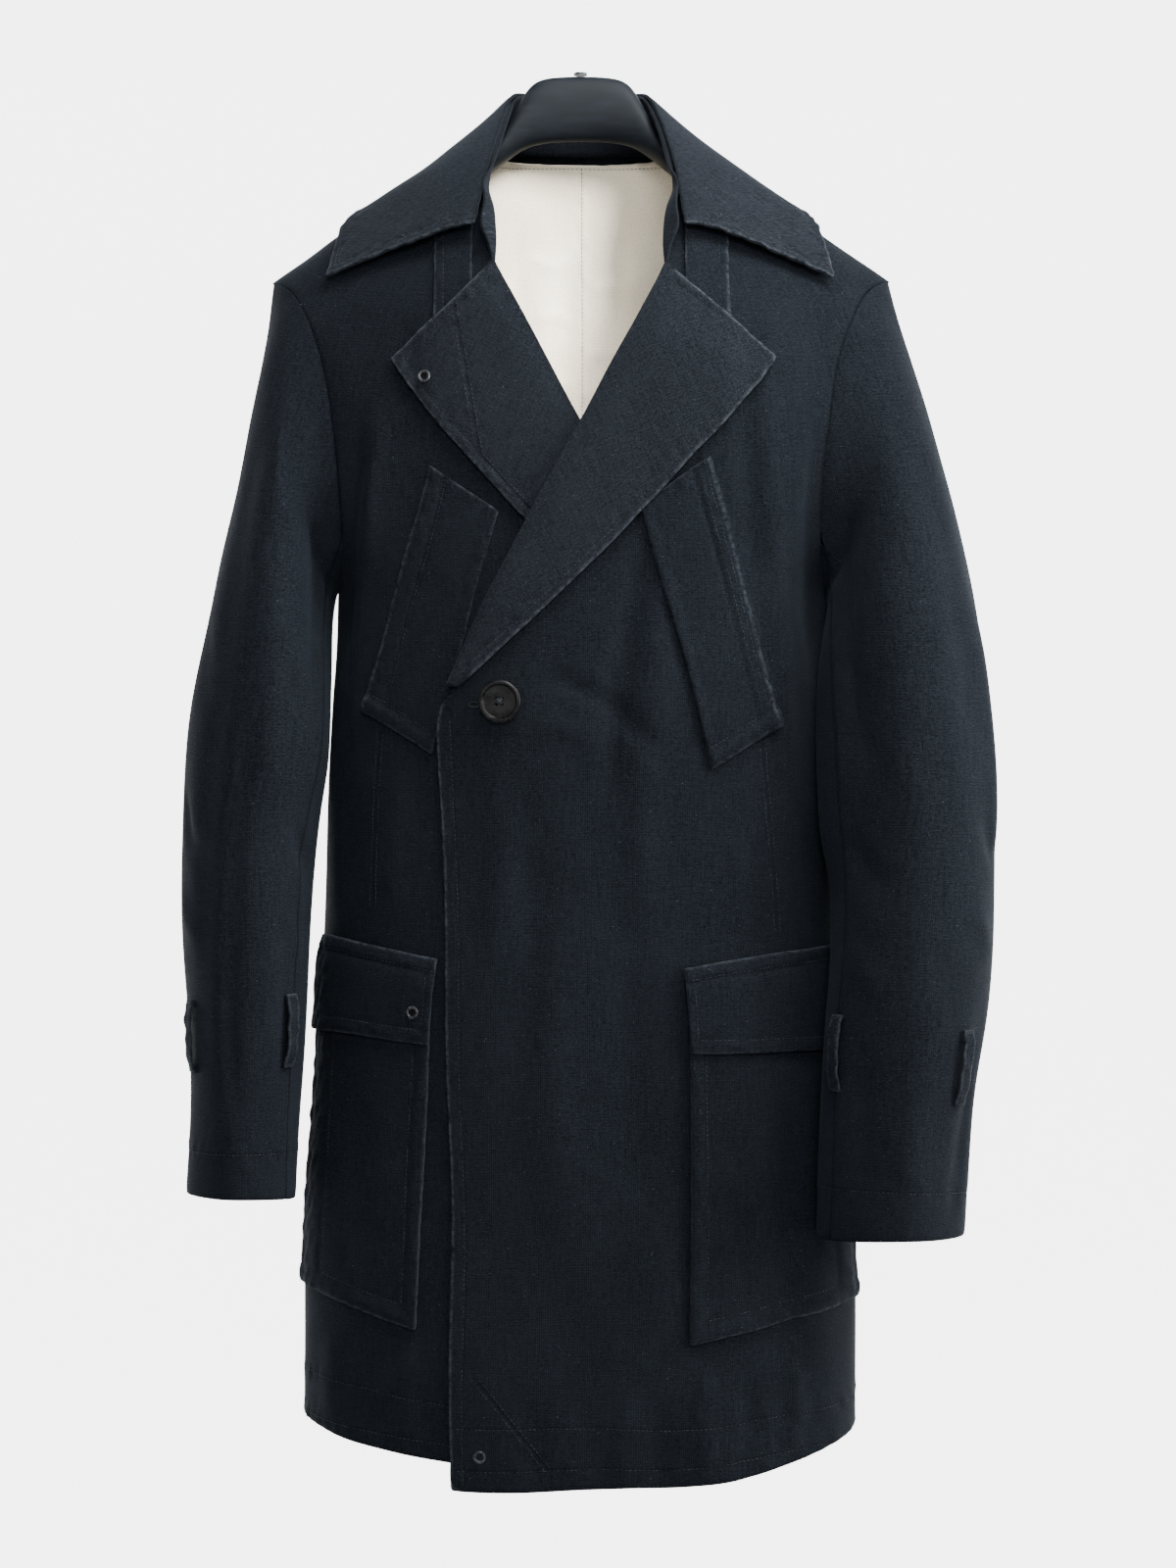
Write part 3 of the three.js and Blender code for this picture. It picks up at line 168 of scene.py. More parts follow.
# Sleeve creases: path of turn round the arm in degrees (0 in front, + to the viewer's right) and z
SLEEVE_CREASES = {
    "right": [
        ([(2, -450), (-4, -600), (-6, -720), (-2, -800)], 8.0, -3.8, 80),
        ([(26, -480), (20, -620), (22, -760)], 10.0, 3.2, 80),
        ([(-30, -240), (-22, -380), (-20, -520), (-22, -700)], 12.0, -3.6, 80),
        ([(36, -300), (42, -400), (36, -500)], 10.0, -3.8, 60),
        ([(2, -230), (8, -340), (10, -450), (12, -560)], 9.0, 3.6, 60),
        ([(-66, -530), (-46, -572), (-20, -592)], 8.0, -3.0, 30),
        ([(30, -555), (50, -588), (76, -598)], 8.0, -3.0, 30),
        ([(-68, -600), (-50, -632), (-28, -650)], 8.0, 2.4, 30),
        ([(20, -620), (44, -650), (68, -655)], 8.0, 2.0, 30),
        ([(-60, -400), (-44, -440), (-30, -500)], 10.0, -2.2, 40),
        ([(150, -300), (160, -450), (158, -600)], 14.0, -3.4, 90),
        ([(-140, -360), (-150, -500), (-146, -700)], 14.0, 3.0, 90),
        ([(110, -540), (130, -565), (150, -575)], 8.0, -2.8, 26),
        ([(115, -600), (135, -622), (155, -628)], 8.0, 2.2, 26),
        ([(-110, -250), (-130, -300), (-150, -340)], 10.0, -2.2, 30),
    ],
    "left": [
        ([(-80, -345), (-77, -440), (-80, -620)], 24.0, 7.0, 60),
        ([(54, -690), (48, -790), (50, -860)], 9.0, -3.4, 60),
        ([(-44, -330), (-40, -440), (-30, -560)], 9.0, -4.2, 80),
        ([(-18, -300), (-10, -430), (-6, -600)], 13.0, 3.6, 90),
        ([(18, -260), (30, -380), (34, -520)], 12.0, -3.2, 80),
        ([(56, -380), (62, -500), (58, -620)], 12.0, 3.0, 70),
        ([(-52, -560), (-30, -600), (-4, -614)], 8.0, -3.2, 34),
        ([(36, -555), (56, -585), (80, -590)], 8.0, -3.0, 30),
        ([(-46, -640), (-28, -672), (-4, -690)], 9.0, 2.6, 34),
        ([(30, -620), (52, -650), (76, -652)], 8.0, 2.4, 30),
        ([(12, -690), (6, -770), (10, -860)], 12.0, 3.0, 60),
        ([(-30, -700), (-26, -780), (-32, -850)], 10.0, -2.4, 60),
        ([(-150, -310), (-160, -460), (-156, -620)], 14.0, -3.4, 90),
        ([(140, -360), (152, -500), (148, -700)], 14.0, 3.0, 90),
        ([(-110, -560), (-130, -585), (-152, -592)], 8.0, -2.8, 26),
        ([(-112, -620), (-134, -642), (-156, -646)], 8.0, 2.4, 26),
    ],
}

# Where one kind of crease gives way to another, in mm
ARMPIT_Z = -395.0
ARMPIT_BLEND = 60
SLEEVE_TURN_SCALE = 1.08
SLEEVE_CREASES_START = -230
SLEEVE_CREASES_BLEND = 110
SIDE_BLEND = 24

# Uneven hang of the cloth: wave length, swing and count of waves, in mm
HANG_WAVES = ((150.0, 1.7, 5), (58.0, 0.6, 6))
PUCKER_WAVES = (11.0, 0.5, 7)
PUCKER_REACH = 7.5

# Corners of what lies on the fronts, as seen from the front: inner top, outer top, inner low, outer low
LAID = {
    "chest_welt_right": ((-59, -337), (-108, -303), (-107, -513), (-158, -481)),
    "chest_welt_left": ((44, -333), (93, -297), (93, -523), (145, -492)),
    "neck_strip_right": ((-78, -112), (-107, -112), (-78, -206), (-107, -216)),
    "neck_strip_left": ((77, -112), (109, -112), (77, -206), (109, -216)),
    "pocket_right": ((-107, -684), (-191, -678), (-119, -930), (-204, -904)),
    "pocket_left": ((80, -690), (191, -684), (79, -940), (204, -914)),
    "flap_right": ((-103, -660), (-189.5, -646), (-109, -723), (-193, -716)),
    "flap_left": ((75, -667), (189.5, -652), (80, -729), (193, -730)),
}

# Distance in mm of an edge that a piece hasn't got; sharpness of rims; walls shown if not the outward one
FAR = 60.0
RIM_ANGLE = math.radians(48)
RIM_CREASE = 0.82
SHOWN_WALL = {"lining_back": 1}


# Small helpers

def pick_only(thing):
    """Selects one object and nothing else."""
    bpy.ops.object.select_all(action="DESELECT")
    thing.select_set(True)
    bpy.context.view_layer.objects.active = thing


def read_points(mesh):
    flat = np.empty(len(mesh.vertices) * 3, np.float32)
    mesh.vertices.foreach_get("co", flat)
    return flat.reshape(-1, 3).astype(float)


def write_points(mesh, points):
    mesh.vertices.foreach_set("co", points.astype(np.float32).ravel())
    mesh.update()


def unit(rows):
    return rows / np.maximum(np.linalg.norm(rows, axis=1, keepdims=True), 1e-9)


def smooth(share):
    share = np.clip(share, 0.0, 1.0)
    return share * share * (3 - 2 * share)


def bump_of(away, reach):
    return np.exp(-((away / reach) ** 2))


def round_band(away, width):
    """A rounded ridge from 0 to its width, 1 high in its middle."""
    share = np.clip(2 * away / width - 1, -1.0, 1.0)
    return np.sqrt(1 - share**2)


def beside_path(spots, path):
    """For points in a plane: distances to a path, beside it, past its ends and along it; its length."""
    near = np.full(len(spots), np.inf)
    side, past, along = np.zeros((3, len(spots)))
    done = 0.0
    for number, (start, end) in enumerate(zip(path[:-1], path[1:])):
        start, end = np.array(start, float), np.array(end, float)
        run = end - start
        length = np.linalg.norm(run)
        share = (spots - start) @ run / length**2
        foot = start + np.clip(share, 0, 1)[:, None] * run
        away = np.linalg.norm(spots - foot, axis=1)
        across = (run[0] * (spots[:, 1] - start[1]) - run[1] * (spots[:, 0] - start[0])) / length
        beyond = np.zeros(len(spots))
        if number == 0:
            beyond = np.maximum(beyond, -share * length)
        if number == len(path) - 2:
            beyond = np.maximum(beyond, (share - 1) * length)
        closer = away < near
        near = np.where(closer, away, near)
        side = np.where(closer, across, side)
        past = np.where(closer, beyond, past)
        along = np.where(closer, done + np.clip(share, 0, 1) * length, along)
        done += length
    return near, side, past, along, done


def crease_height(spots, creases):
    height = np.zeros(len(spots))
    for path, half_width, rise, fade in creases:
        near, _, _, along, length = beside_path(spots, path)
        ends = smooth(along / fade) * smooth((length - along) / fade)
        height += rise * ends * bump_of(near, half_width)
    return height


# Directions and waves

def body_outward(points):
    """Unit directions away from the body's middle line, for points in mm."""
    away = np.zeros_like(points)
    away[:, 0] = points[:, 0] / BODY_HALF_WIDTH**2
    away[:, 1] = points[:, 1] / BODY_HALF_DEPTH**2
    return unit(away)


def sleeve_outward(side):
    """A function that gives unit directions away from a sleeve's middle line."""
    line = np.array(sorted(SLEEVE_LINES[side]), float)

    def outward(points):
        away = np.zeros_like(points)
        away[:, 0] = points[:, 0] - np.interp(points[:, 2], line[:, 0], line[:, 1])
        away[:, 1] = points[:, 1] - np.interp(points[:, 2], line[:, 0], line[:, 2])
        return unit(away)

    return outward


def collar_outward(points):
    return unit(points - np.array(COLLAR_HEART))


def side_of(node):
    """The sleeve that a sleeve piece or a cuff loop belongs to."""
    return node.rsplit("_", 1)[1] if node.startswith("sleeve_") else node.split("_")[2]


def outward_of(node):
    if node.startswith(("sleeve_", "cuff_loop_")):
        return sleeve_outward(side_of(node))
    if node.startswith("collar_"):
        return collar_outward
    return body_outward


def wave_table(seed, length, swing, count, flatten):
    """Seeded waves: a direction of travel, a direction of swing and a phase each."""
    draw = np.random.default_rng(seed)
    travel = unit(draw.normal(size=(count, 3)) * (1, 1, flatten)) * 2 * math.pi / length
    travel *= draw.uniform(0.75, 1.3, size=(count, 1))
    lean = unit(draw.normal(size=(count, 3))) * swing / math.sqrt(count)
    return travel, lean, draw.uniform(0, 2 * math.pi, size=count)


HANG = [wave_table(11 + k, *wave, 0.45) for k, wave in enumerate(HANG_WAVES)]
PUCKER = wave_table(31, *PUCKER_WAVES, 1.0)


def waves(points, table):
    travel, lean, phase = table
    return np.sin(points @ travel.T + phase) @ lean


def hang(points):
    """The cloth's slow unevenness, the same for every piece, so that seams stay closed."""
    return sum(waves(points, table) for table in HANG)


def body_creases(points):
    """Creases of the fronts and backs, for the body and what lies on it or joins it."""
    spots = points[:, (0, 2)]
    front = crease_height(spots, FRONT_CREASES)
    back = crease_height(spots, BACK_CREASES)
    turn = smooth((points[:, 1] + SIDE_BLEND / 2) / SIDE_BLEND)
    return (front * (1 - turn) + back * turn)[:, None] * body_outward(points)


def sleeve_creases(points, side):
    outward = sleeve_outward(side)(points)
    turn = np.degrees(np.arctan2(outward[:, 0], -outward[:, 1]))
    spots = np.stack([turn, points[:, 2] / SLEEVE_TURN_SCALE], axis=1)
    scaled = [
        ([(a, z / SLEEVE_TURN_SCALE) for a, z in path], width, rise, fade / SLEEVE_TURN_SCALE)
        for path, width, rise, fade in SLEEVE_CREASES[side]
    ]
    top = smooth((SLEEVE_CREASES_START - points[:, 2]) / SLEEVE_CREASES_BLEND)
    return (crease_height(spots, scaled) * top)[:, None] * outward


def moved_cloth(node, points):
    """Where a node's cloth hangs once it has its unevenness and creases, in mm."""
    moved = points + hang(points)
    if node.startswith(("sleeve_", "cuff_loop_")):
        held = smooth((points[:, 2] - ARMPIT_Z + ARMPIT_BLEND / 2) / ARMPIT_BLEND)[:, None]
        return moved + body_creases(points) * held + sleeve_creases(points, side_of(node))
    if node == "lining_back":
        wrinkles = crease_height(points[:, (0, 2)], LINING_CREASES)
        return moved + body_creases(points) - (wrinkles + LINING_LIFT)[:, None] * body_outward(points)
    return moved + body_creases(points)


# Relief of what lies on the fronts

def edge_lines(node):
    """Straight edges of a laid piece: inner, outer, top and bottom."""
    inner_top, outer_top, inner_low, outer_low = LAID[node]
    return {
        "inner": [inner_top, inner_low],
        "outer": [outer_top, outer_low],
        "top": [inner_top, outer_top],
        "low": [inner_low, outer_low],
    }


def edge_distances(node, points):
    """Distance in mm from each point to each straight edge of a laid piece, + inside it."""
    spots = points[:, (0, 2)]
    middle = np.array([np.mean(LAID[node], axis=0)])
    found = {}
    for edge, path in edge_lines(node).items():
        sign = np.sign(beside_path(middle, path)[1][0])
        found[edge] = beside_path(spots, path)[1] * sign
    return found


def rolled(away, width, rise, ditch, depth, reach):
    """A turned edge: a ridge along it, and the ditch of its stitch row."""
    return rise * round_band(away, width) - depth * bump_of(away - ditch, reach)


def welt_relief(far):
    ditch = -1.1 * bump_of(far["outer"] - 13.0, 1.5) * smooth((far["low"] - 9) / 4)
    outer = 0.7 * round_band(far["outer"], 13.0)
    low = rolled(far["low"], 11.0, 1.5, 11.6, 0.7, 1.3)
    return ditch + outer + low + rolled(far["inner"], 9.5, 0.5, 10.0, 0.35, 1.6)


def pocket_relief(far):
    inner = rolled(far["inner"], 11.0, 1.3, 11.8, 0.8, 1.5)
    low = rolled(far["low"], 12.0, 1.3, 12.8, 0.9, 1.5)
    outer = rolled(far["outer"], 11.0, 1.0, 11.8, 0.7, 1.5)
    return np.maximum(np.maximum(inner, low), outer) + 0.35 * np.minimum(np.minimum(inner, low), outer)


def flap_relief(far):
    top = rolled(far["top"], 10.5, 0.9, 11.2, 0.9, 1.6)
    low = rolled(far["low"], 10.0, 0.45, 10.2, 0.4, 1.4)
    return top + low + rolled(far["inner"], 8.0, 0.35, 8.2, 0.3, 1.4)


def strip_relief(far):
    return rolled(far["outer"], 9.0, 0.5, 6.5, 0.5, 1.2)


RELIEFS = {"chest": welt_relief, "pocket": pocket_relief, "flap": flap_relief, "neck": strip_relief}


# Turned edges: which points of a rim are on one, and not on a seam or on a lapel's fold

FOLD_REACH = 6.0


def collar_edge(points):
    return (points[:, 1] > 60) | (np.abs(points[:, 0]) > 86) | (points[:, 2] < -124)


def lapel_left_edge(points):
    return beside_path(points[:, (0, 2)], [(64, -157), (-91, -463)])[0] > FOLD_REACH


def lapel_right_edge(points):
    return beside_path(points[:, (0, 2)], [(-64, -157), (72, -417)])[0] > FOLD_REACH


# Turned edges with topstitching: their test, and the distance of the row in mm
TURNED_EDGES = {
    "collar_fall": (collar_edge, 7.0),
    "lapel_left": (lapel_left_edge, 6.5),
    "lapel_right": (lapel_right_edge, 6.5),
}

# Heights in mm below which a piece's rim is a hem or a cuff, and not a seam
HEM_BELOW = {"front_left": -1000, "front_right": -1000, "back_left": -1000, "back_right": -1000}
for half in ("upper", "under"):
    HEM_BELOW["sleeve_" + half + "_right"] = -822
    HEM_BELOW["sleeve_" + half + "_left"] = -846
FRONT_EDGE = [(-105, -470), (-103, -481), (-99, -605), (-93.5, -817), (-93.5, -1060)]


def free_edge(node, points, rims):
    """Which points of a piece's rim lie on a hem, a cuff or a turned edge, and not on a seam."""
    if node in TURNED_EDGES:
        return TURNED_EDGES[node][0](points)
    if node.startswith("cuff_loop_"):
        return np.ones(len(points), bool)
    free = np.zeros(len(points), bool)
    if node in HEM_BELOW:
        free |= (points[:, 2] < HEM_BELOW[node]) & (rims[:, 2] < -0.5)
    if node == "front_left":
        free |= (beside_path(points[:, (0, 2)], FRONT_EDGE)[0] < 6) & (points[:, 1] < 0)
    return free


# Seams are pressed in a little; hems are rolled outward and inward by turns
SEAM_CLOSING = 0.21
SEAM_RIM = 0.6
SEAM_DEPTH = 0.55
SEAM_REACH = 2.4
HEM_ROLL = 0.5
HEM_REACH = 9.0
LOCAL_SHIFTS = {
    "collar_stand": [
        ((-66, -66, -92), 13.0, (-4.5, 0, 0)),
        ((66, -66, -92), 13.0, (4.5, 0, 0)),
        ((-60, -88, -154), 11.0, (-2.5, -1.0, -6.0)),
        ((60, -88, -154), 11.0, (2.5, -1.0, -6.0)),
    ],
    "lapel_left": [((62, -90, -154), 9.0, (1.0, 0, 3.0))],
    "lapel_right": [((-62, -90, -154), 9.0, (-1.0, 0, 3.0))],
}


def hem_roll(edge, node):
    if node not in HEM_BELOW:
        return np.zeros(len(edge))
    return HEM_ROLL * round_band(edge, HEM_REACH)


def turned_relief(edge, row):
    return rolled(edge, row, 0.55, row, 0.45, 1.4)


# Making a cloth shell

def copy_of_node(node, name):
    """A CAD node's mesh as a new, merged piece of quads that may be shaped."""
    piece = bpy.data.objects.new(name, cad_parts[node].data.copy())
    bpy.context.scene.collection.objects.link(piece)
    pick_only(piece)
    if piece.data.has_custom_normals:
        bpy.ops.mesh.customdata_custom_splitnormals_clear()
    bpy.ops.object.mode_set(mode="EDIT")
    bpy.ops.mesh.select_all(action="SELECT")
    bpy.ops.mesh.remove_doubles(threshold=0.00001)
    bpy.ops.mesh.tris_convert_to_quads(
        face_threshold=math.radians(50), shape_threshold=math.radians(170)
    )
    bpy.ops.object.mode_set(mode="OBJECT")
    return piece


def mark_walls(piece, outward):
    """Creases a wall's rims, and numbers its faces: 0 on the outward side, 1 inside, 2 on a rim."""
    form = bmesh.new()
    form.from_mesh(piece.data)
    form.faces.ensure_lookup_table()
    crease = form.edges.layers.float.new("crease_edge")
    for edge in form.edges:
        if len(edge.link_faces) == 2 and edge.calc_face_angle() > RIM_ANGLE:
            edge[crease] = RIM_CREASE
    patches = []
    left = set(form.faces)
    while left:
        start = left.pop()
        patch, border = [start], [start]
        while border:
            face = border.pop()
            for edge in face.edges:
                if edge[crease] > 0:
                    continue
                for other in edge.link_faces:
                    if other in left:
                        left.remove(other)
                        patch.append(other)
                        border.append(other)
        patches.append(patch)
    patches.sort(key=lambda patch: -sum(face.calc_area() for face in patch))
    for number, patch in enumerate(patches):
        middle = np.array([face.calc_center_median() for face in patch]) / MM
        looks = np.array([face.normal for face in patch])
        out = (looks * outward(middle)).sum(axis=1).mean() > 0
        wall = 2 if number > 1 else (0 if out else 1)
        for face in patch:
            face.material_index = wall
    form.to_mesh(piece.data)
    form.free()


def subdivide(piece, levels):
    finer = piece.modifiers.new("finer", "SUBSURF")
    finer.levels = levels
    finer.render_levels = levels
    pick_only(piece)
    bpy.ops.object.modifier_apply(modifier=finer.name)


def face_corners(mesh):
    """Corner vertices of each quad, and the wall number of each face."""
    walls = np.empty(len(mesh.polygons), np.int32)
    mesh.polygons.foreach_get("material_index", walls)
    corners = np.empty(len(mesh.loops), np.int32)
    mesh.loops.foreach_get("vertex_index", corners)
    return corners.reshape(-1, 4), walls


def rim_normals(mesh, corners, walls):
    """For each point of a rim, the direction out of the cloth's edge; nothing elsewhere."""
    looks = np.empty(len(walls) * 3, np.float32)
    mesh.polygon_normals.foreach_get("vector", looks)
    looks = looks.reshape(-1, 3).astype(float)
    total = np.zeros((len(mesh.vertices), 3))
    for corner in range(4):
        np.add.at(total, corners[walls == 2][:, corner], looks[walls == 2])
    return unit(total)


def rim_distance(points, corners, walls, counts):
    """Distance in mm of each point to the outer wall's rim, where counts says that the rim is of one kind."""
    outer = set(corners[walls == 0].ravel().tolist())
    rim = set(corners[walls == 2].ravel().tolist())
    border = np.array(sorted(outer & rim))
    border = border[counts[border]]
    if not len(border):
        return np.full(len(points), FAR)
    marked = set(border.tolist())
    spots = [points[number] for number in border]
    for quad in corners[walls == 2].tolist():
        for a, b in zip(quad, quad[1:] + quad[:1]):
            if a in marked and b in marked:
                spots += [points[a] * (1 - share) + points[b] * share for share in (0.25, 0.5, 0.75)]
    tree = KDTree(len(spots))
    for number, spot in enumerate(spots):
        tree.insert(spot, number)
    tree.balance()
    return np.array([tree.find(point)[2] for point in points])


def put_values(mesh, name, values):
    """Stores a number or three numbers for each point, for the material to read."""
    kind = "FLOAT_VECTOR" if values.ndim == 2 else "FLOAT"
    layer = mesh.attributes.new(name, kind, "POINT")
    layer.data.foreach_set("vector" if values.ndim == 2 else "value", values.astype(np.float32).ravel())


def put_threads(mesh, corners, across, along):
    """A UV map in metres of cloth: across the warp and along it."""
    layer = mesh.uv_layers.new(name="threads")
    pairs = np.stack([across, along], axis=1)[corners.ravel()] * MM
    layer.data.foreach_set("uv", pairs.astype(np.float32).ravel())


# Turn of the lapels' threads in degrees; the collar's middle and radius in mm, and its stretch
LAPEL_GRAIN = {"lapel_left": 24.0, "lapel_right": -24.0}
COLLAR_MIDDLE = 40
COLLAR_RADIUS = 110.0
COLLAR_STRETCH = 1.2


def thread_map(node, points):
    """Places in the flat cloth, in mm, before the creases are made."""
    if node.startswith(("sleeve_", "cuff_loop_")):
        outward = sleeve_outward(side_of(node))(points)
        turn = np.arctan2(outward[:, 0], -outward[:, 1])
        if "under" in node:
            turn = np.arctan2(-outward[:, 0], outward[:, 1])
        return turn * SLEEVE_HALF_ROUND, points[:, 2]
    if node in LAPEL_GRAIN:
        lean = math.radians(LAPEL_GRAIN[node])
        return (
            points[:, 0] * math.cos(lean) + points[:, 2] * math.sin(lean),
            points[:, 2] * math.cos(lean) - points[:, 0] * math.sin(lean),
        )
    if node.startswith("collar_"):
        around = np.arctan2(points[:, 0], points[:, 1] + COLLAR_MIDDLE)
        return around * COLLAR_RADIUS, points[:, 2] * COLLAR_STRETCH
    sign = np.where(points[:, 1] > 0, -1.0, 1.0)
    depth = np.abs(points[:, 1]) / BODY_HALF_DEPTH * BODY_HALF_WIDTH
    return sign * np.arctan2(points[:, 0], depth) * BODY_HALF_WIDTH, points[:, 2]


# Sewn lines on the large pieces in mm: path of x and z, the side it is on, distances of its stitch rows
SEWN = {
    "front_left": [
        ([(-103, -481), (-99, -605), (-93.5, -817), (-93.5, -1060)], "front", 9.0, (9.0,)),
        ([(-110, -1000), (60, -1002), (215, -990)], "front", 0.0, (0.0,)),
        ([(-110, -1031), (60, -1031), (215, -1015)], "front", 0.0, (0.0,)),
        ([(133, -505), (140, -580), (144.5, -648)], "front", 0.0, (2.0, -2.0)),
        ([(-79.5, -960), (-22.7, -1031)], "front", 0.0, (2.2, -2.2)),
    ],
    "front_right": [
        ([(-145, -492), (-149, -560), (-152, -631)], "front", 0.0, (2.0, -2.0)),
        ([(-212, -968), (-150, -977), (-85, -986)], "front", 0.0, (0.0,)),
        ([(-215, -999), (-150, -1008), (-85, -1014)], "front", 0.0, (0.0,)),
    ],
    "back_left": [
        ([(3.2, -60), (3.2, -1020)], "back", 0.0, (0.0,)),
        ([(0, -978), (215, -972)], "back", 0.0, (0.0,)),
        ([(112, -170), (104, -420), (98, -640), (104, -1020)], "back", 0.0, (2.0,)),
    ],
    "back_right": [
        ([(-3.2, -60), (-3.2, -1020)], "back", 0.0, (0.0,)),
        ([(-215, -972), (0, -978)], "back", 0.0, (0.0,)),
        ([(-112, -170), (-104, -420), (-98, -640), (-104, -1020)], "back", 0.0, (-2.0,)),
    ],
    "lapel_right": [
        ([(-94, -176), (-72, -297), (-34, -338)], "front", 0.0, (2.2, -2.2)),
    ],
    "lining_back": [
        ([(1.6, -40), (1.6, -330)], None, 0.0, (2.0,)),
        ([(-90, -66), (90, -66)], None, 0.0, (2.0,)),
    ],
}
for half in ("upper", "under"):
    SEWN["sleeve_" + half + "_right"] = [([(-400, -800), (-150, -803)], None, 0.0, (0.0,))]
    SEWN["sleeve_" + half + "_left"] = [([(130, -822), (330, -830)], None, 0.0, (0.0,))]

# Stitch rows of what lies on the fronts: edge, distance from it, least distances from other edges, in mm
WELT_LOW_ROW = ("low", 13.0, {"inner": 3, "outer": 3})
WELT_TRIM = {"low": 12, "top": 1}
STRIP_ROWS = [("outer", 6.5, {"low": 2})]
POCKET_ROWS = [
    ("inner", 13.0, {"low": 14, "outer": 14}),
    ("low", 14.2, {"inner": 13, "outer": 13}),
    ("outer", 13.0, {"low": 14, "inner": 14}),
]
FLAP_ROWS = [
    ("top", 9.6, {"inner": 1, "outer": 1}),
    ("low", 9.8, {"inner": 8, "outer": 3}),
    ("inner", 8.0, {"top": 12, "low": 9}),
]
LAID_ROWS = {
    "chest_welt_right": [("inner", 2.0, WELT_TRIM), ("outer", 14.8, WELT_TRIM), WELT_LOW_ROW],
    "chest_welt_left": [("outer", 4.2, WELT_TRIM), ("outer", 8.6, WELT_TRIM), WELT_LOW_ROW],
}
for hand in ("left", "right"):
    LAID_ROWS["neck_strip_" + hand] = STRIP_ROWS
    LAID_ROWS["pocket_" + hand] = POCKET_ROWS
    LAID_ROWS["flap_" + hand] = FLAP_ROWS
EDGE_ROWS = {"collar_fall": (5.4, 8.2), "lapel_left": (6.4,), "lapel_right": (6.4,)}
EDGE_ROWS.update({loop: (2.2,) for loop in CUFF_LOOPS})

# One stitch in mm: how far they are apart, length, half width, height over the cloth
STITCH_STEP = 3.3
STITCH_LENGTH = 2.5
STITCH_HALF_WIDTH = 0.27
STITCH_RISE = 0.34
STITCH_SINK = 0.12
STITCH_END = 0.45
STITCH_END_RISE = 0.02
CORNERS_A_STITCH = 12

# A sewn line's values in mm where it doesn't reach, and the depths where the coat's front and back end
PAST_REACH = 50.0
SIDE_REACH = 90.0
FRONT_ENDS_Y = 30
BACK_STARTS_Y = -10


def sewn_fields(node, points):
    """Side distance, distance past the ends and stitch rows of each sewn line of a large piece, in mm."""
    spots = points[:, (0, 2)]
    heart = spots.mean(axis=0)[None, :]
    found = []
    for path, facing, inset, rows in SEWN.get(node, []):
        _, side, past, _, _ = beside_path(spots, path)
        if facing == "front":
            past = np.where(points[:, 1] > FRONT_ENDS_Y, PAST_REACH, past)
        if facing == "back":
            past = np.where(points[:, 1] < BACK_STARTS_Y, PAST_REACH, past)
        inner_side = np.sign(beside_path(heart, path)[1][0])
        found.append((side - inset * inner_side, past, rows))
    return found


def contour(points, normals, quads, values, level, keep):
    """Polylines where a value crosses a level on a mesh of quads, each with its points and normals."""
    above = values[quads] > level
    crossed = quads[(above.any(axis=1)) & (~above.all(axis=1)) & keep[quads].all(axis=1)]
    spots, links = {}, {}
    for quad in crossed.tolist():
        cut = []
        for a, b in zip(quad, quad[1:] + quad[:1]):
            if (values[a] > level) != (values[b] > level):
                key = (a, b) if a < b else (b, a)
                if key not in spots:
                    share = (level - values[key[0]]) / (values[key[1]] - values[key[0]])
                    spots[key] = (
                        points[key[0]] * (1 - share) + points[key[1]] * share,
                        normals[key[0]] * (1 - share) + normals[key[1]] * share,
                    )
                cut.append(key)
        if len(cut) == 2:
            links.setdefault(cut[0], []).append(cut[1])
            links.setdefault(cut[1], []).append(cut[0])
    lines = []
    left = set(links)
    ends = [key for key in links if len(links[key]) == 1]
    for start in ends + list(links):
        if start not in left:
            continue
        line = [start]
        left.discard(start)
        while True:
            onward = [key for key in links[line[-1]] if key in left]
            if not onward:
                break
            line.append(onward[0])
            left.discard(onward[0])
        if len(line) > 2:
            lines.append(tuple(np.array([spots[key][kind] for key in line]) for kind in range(2)))
    return lines


def along_line(where, run, values):
    """Values of a polyline's points at some lengths along it."""
    return np.stack([np.interp(where, run, values[:, axis]) for axis in range(3)], axis=1)


def stitch_shapes(line, lean):
    """Small threads along a polyline on the cloth: rings of four points each, in mm."""
    steps = np.linalg.norm(np.diff(line, axis=0), axis=1)
    run = np.concatenate([[0], np.cumsum(steps)])
    count = int(run[-1] // STITCH_STEP)
    if count < 2:
        return np.zeros((0, CORNERS_A_STITCH, 3))
    middles = (np.arange(count) + 0.5) * STITCH_STEP
    half = STITCH_LENGTH / 2
    up = unit(along_line(middles, run, lean))
    first, centre, last = [along_line(middles + shift, run, line) for shift in (-half, 0, half)]
    ahead = unit(last - first)
    across = unit(np.cross(up, ahead))
    rings = []
    ends = (STITCH_END, STITCH_END_RISE)
    for middle, (wide, top) in ((first, ends), (centre, (1.0, STITCH_RISE)), (last, ends)):
        reach = across * STITCH_HALF_WIDTH * wide
        flank = up * (top * 0.45 - STITCH_SINK * 0.4)
        low = middle - up * STITCH_SINK
        rings += [middle + reach + flank, middle + up * top, middle - reach + flank, low]
    return np.stack(rings, axis=1)


STITCH_FACES = [(3, 2, 1, 0), (8, 9, 10, 11)] + [
    (ring * 4 + k, ring * 4 + (k + 1) % 4, ring * 4 + 4 + (k + 1) % 4, ring * 4 + 4 + k)
    for ring in range(2)
    for k in range(4)
]


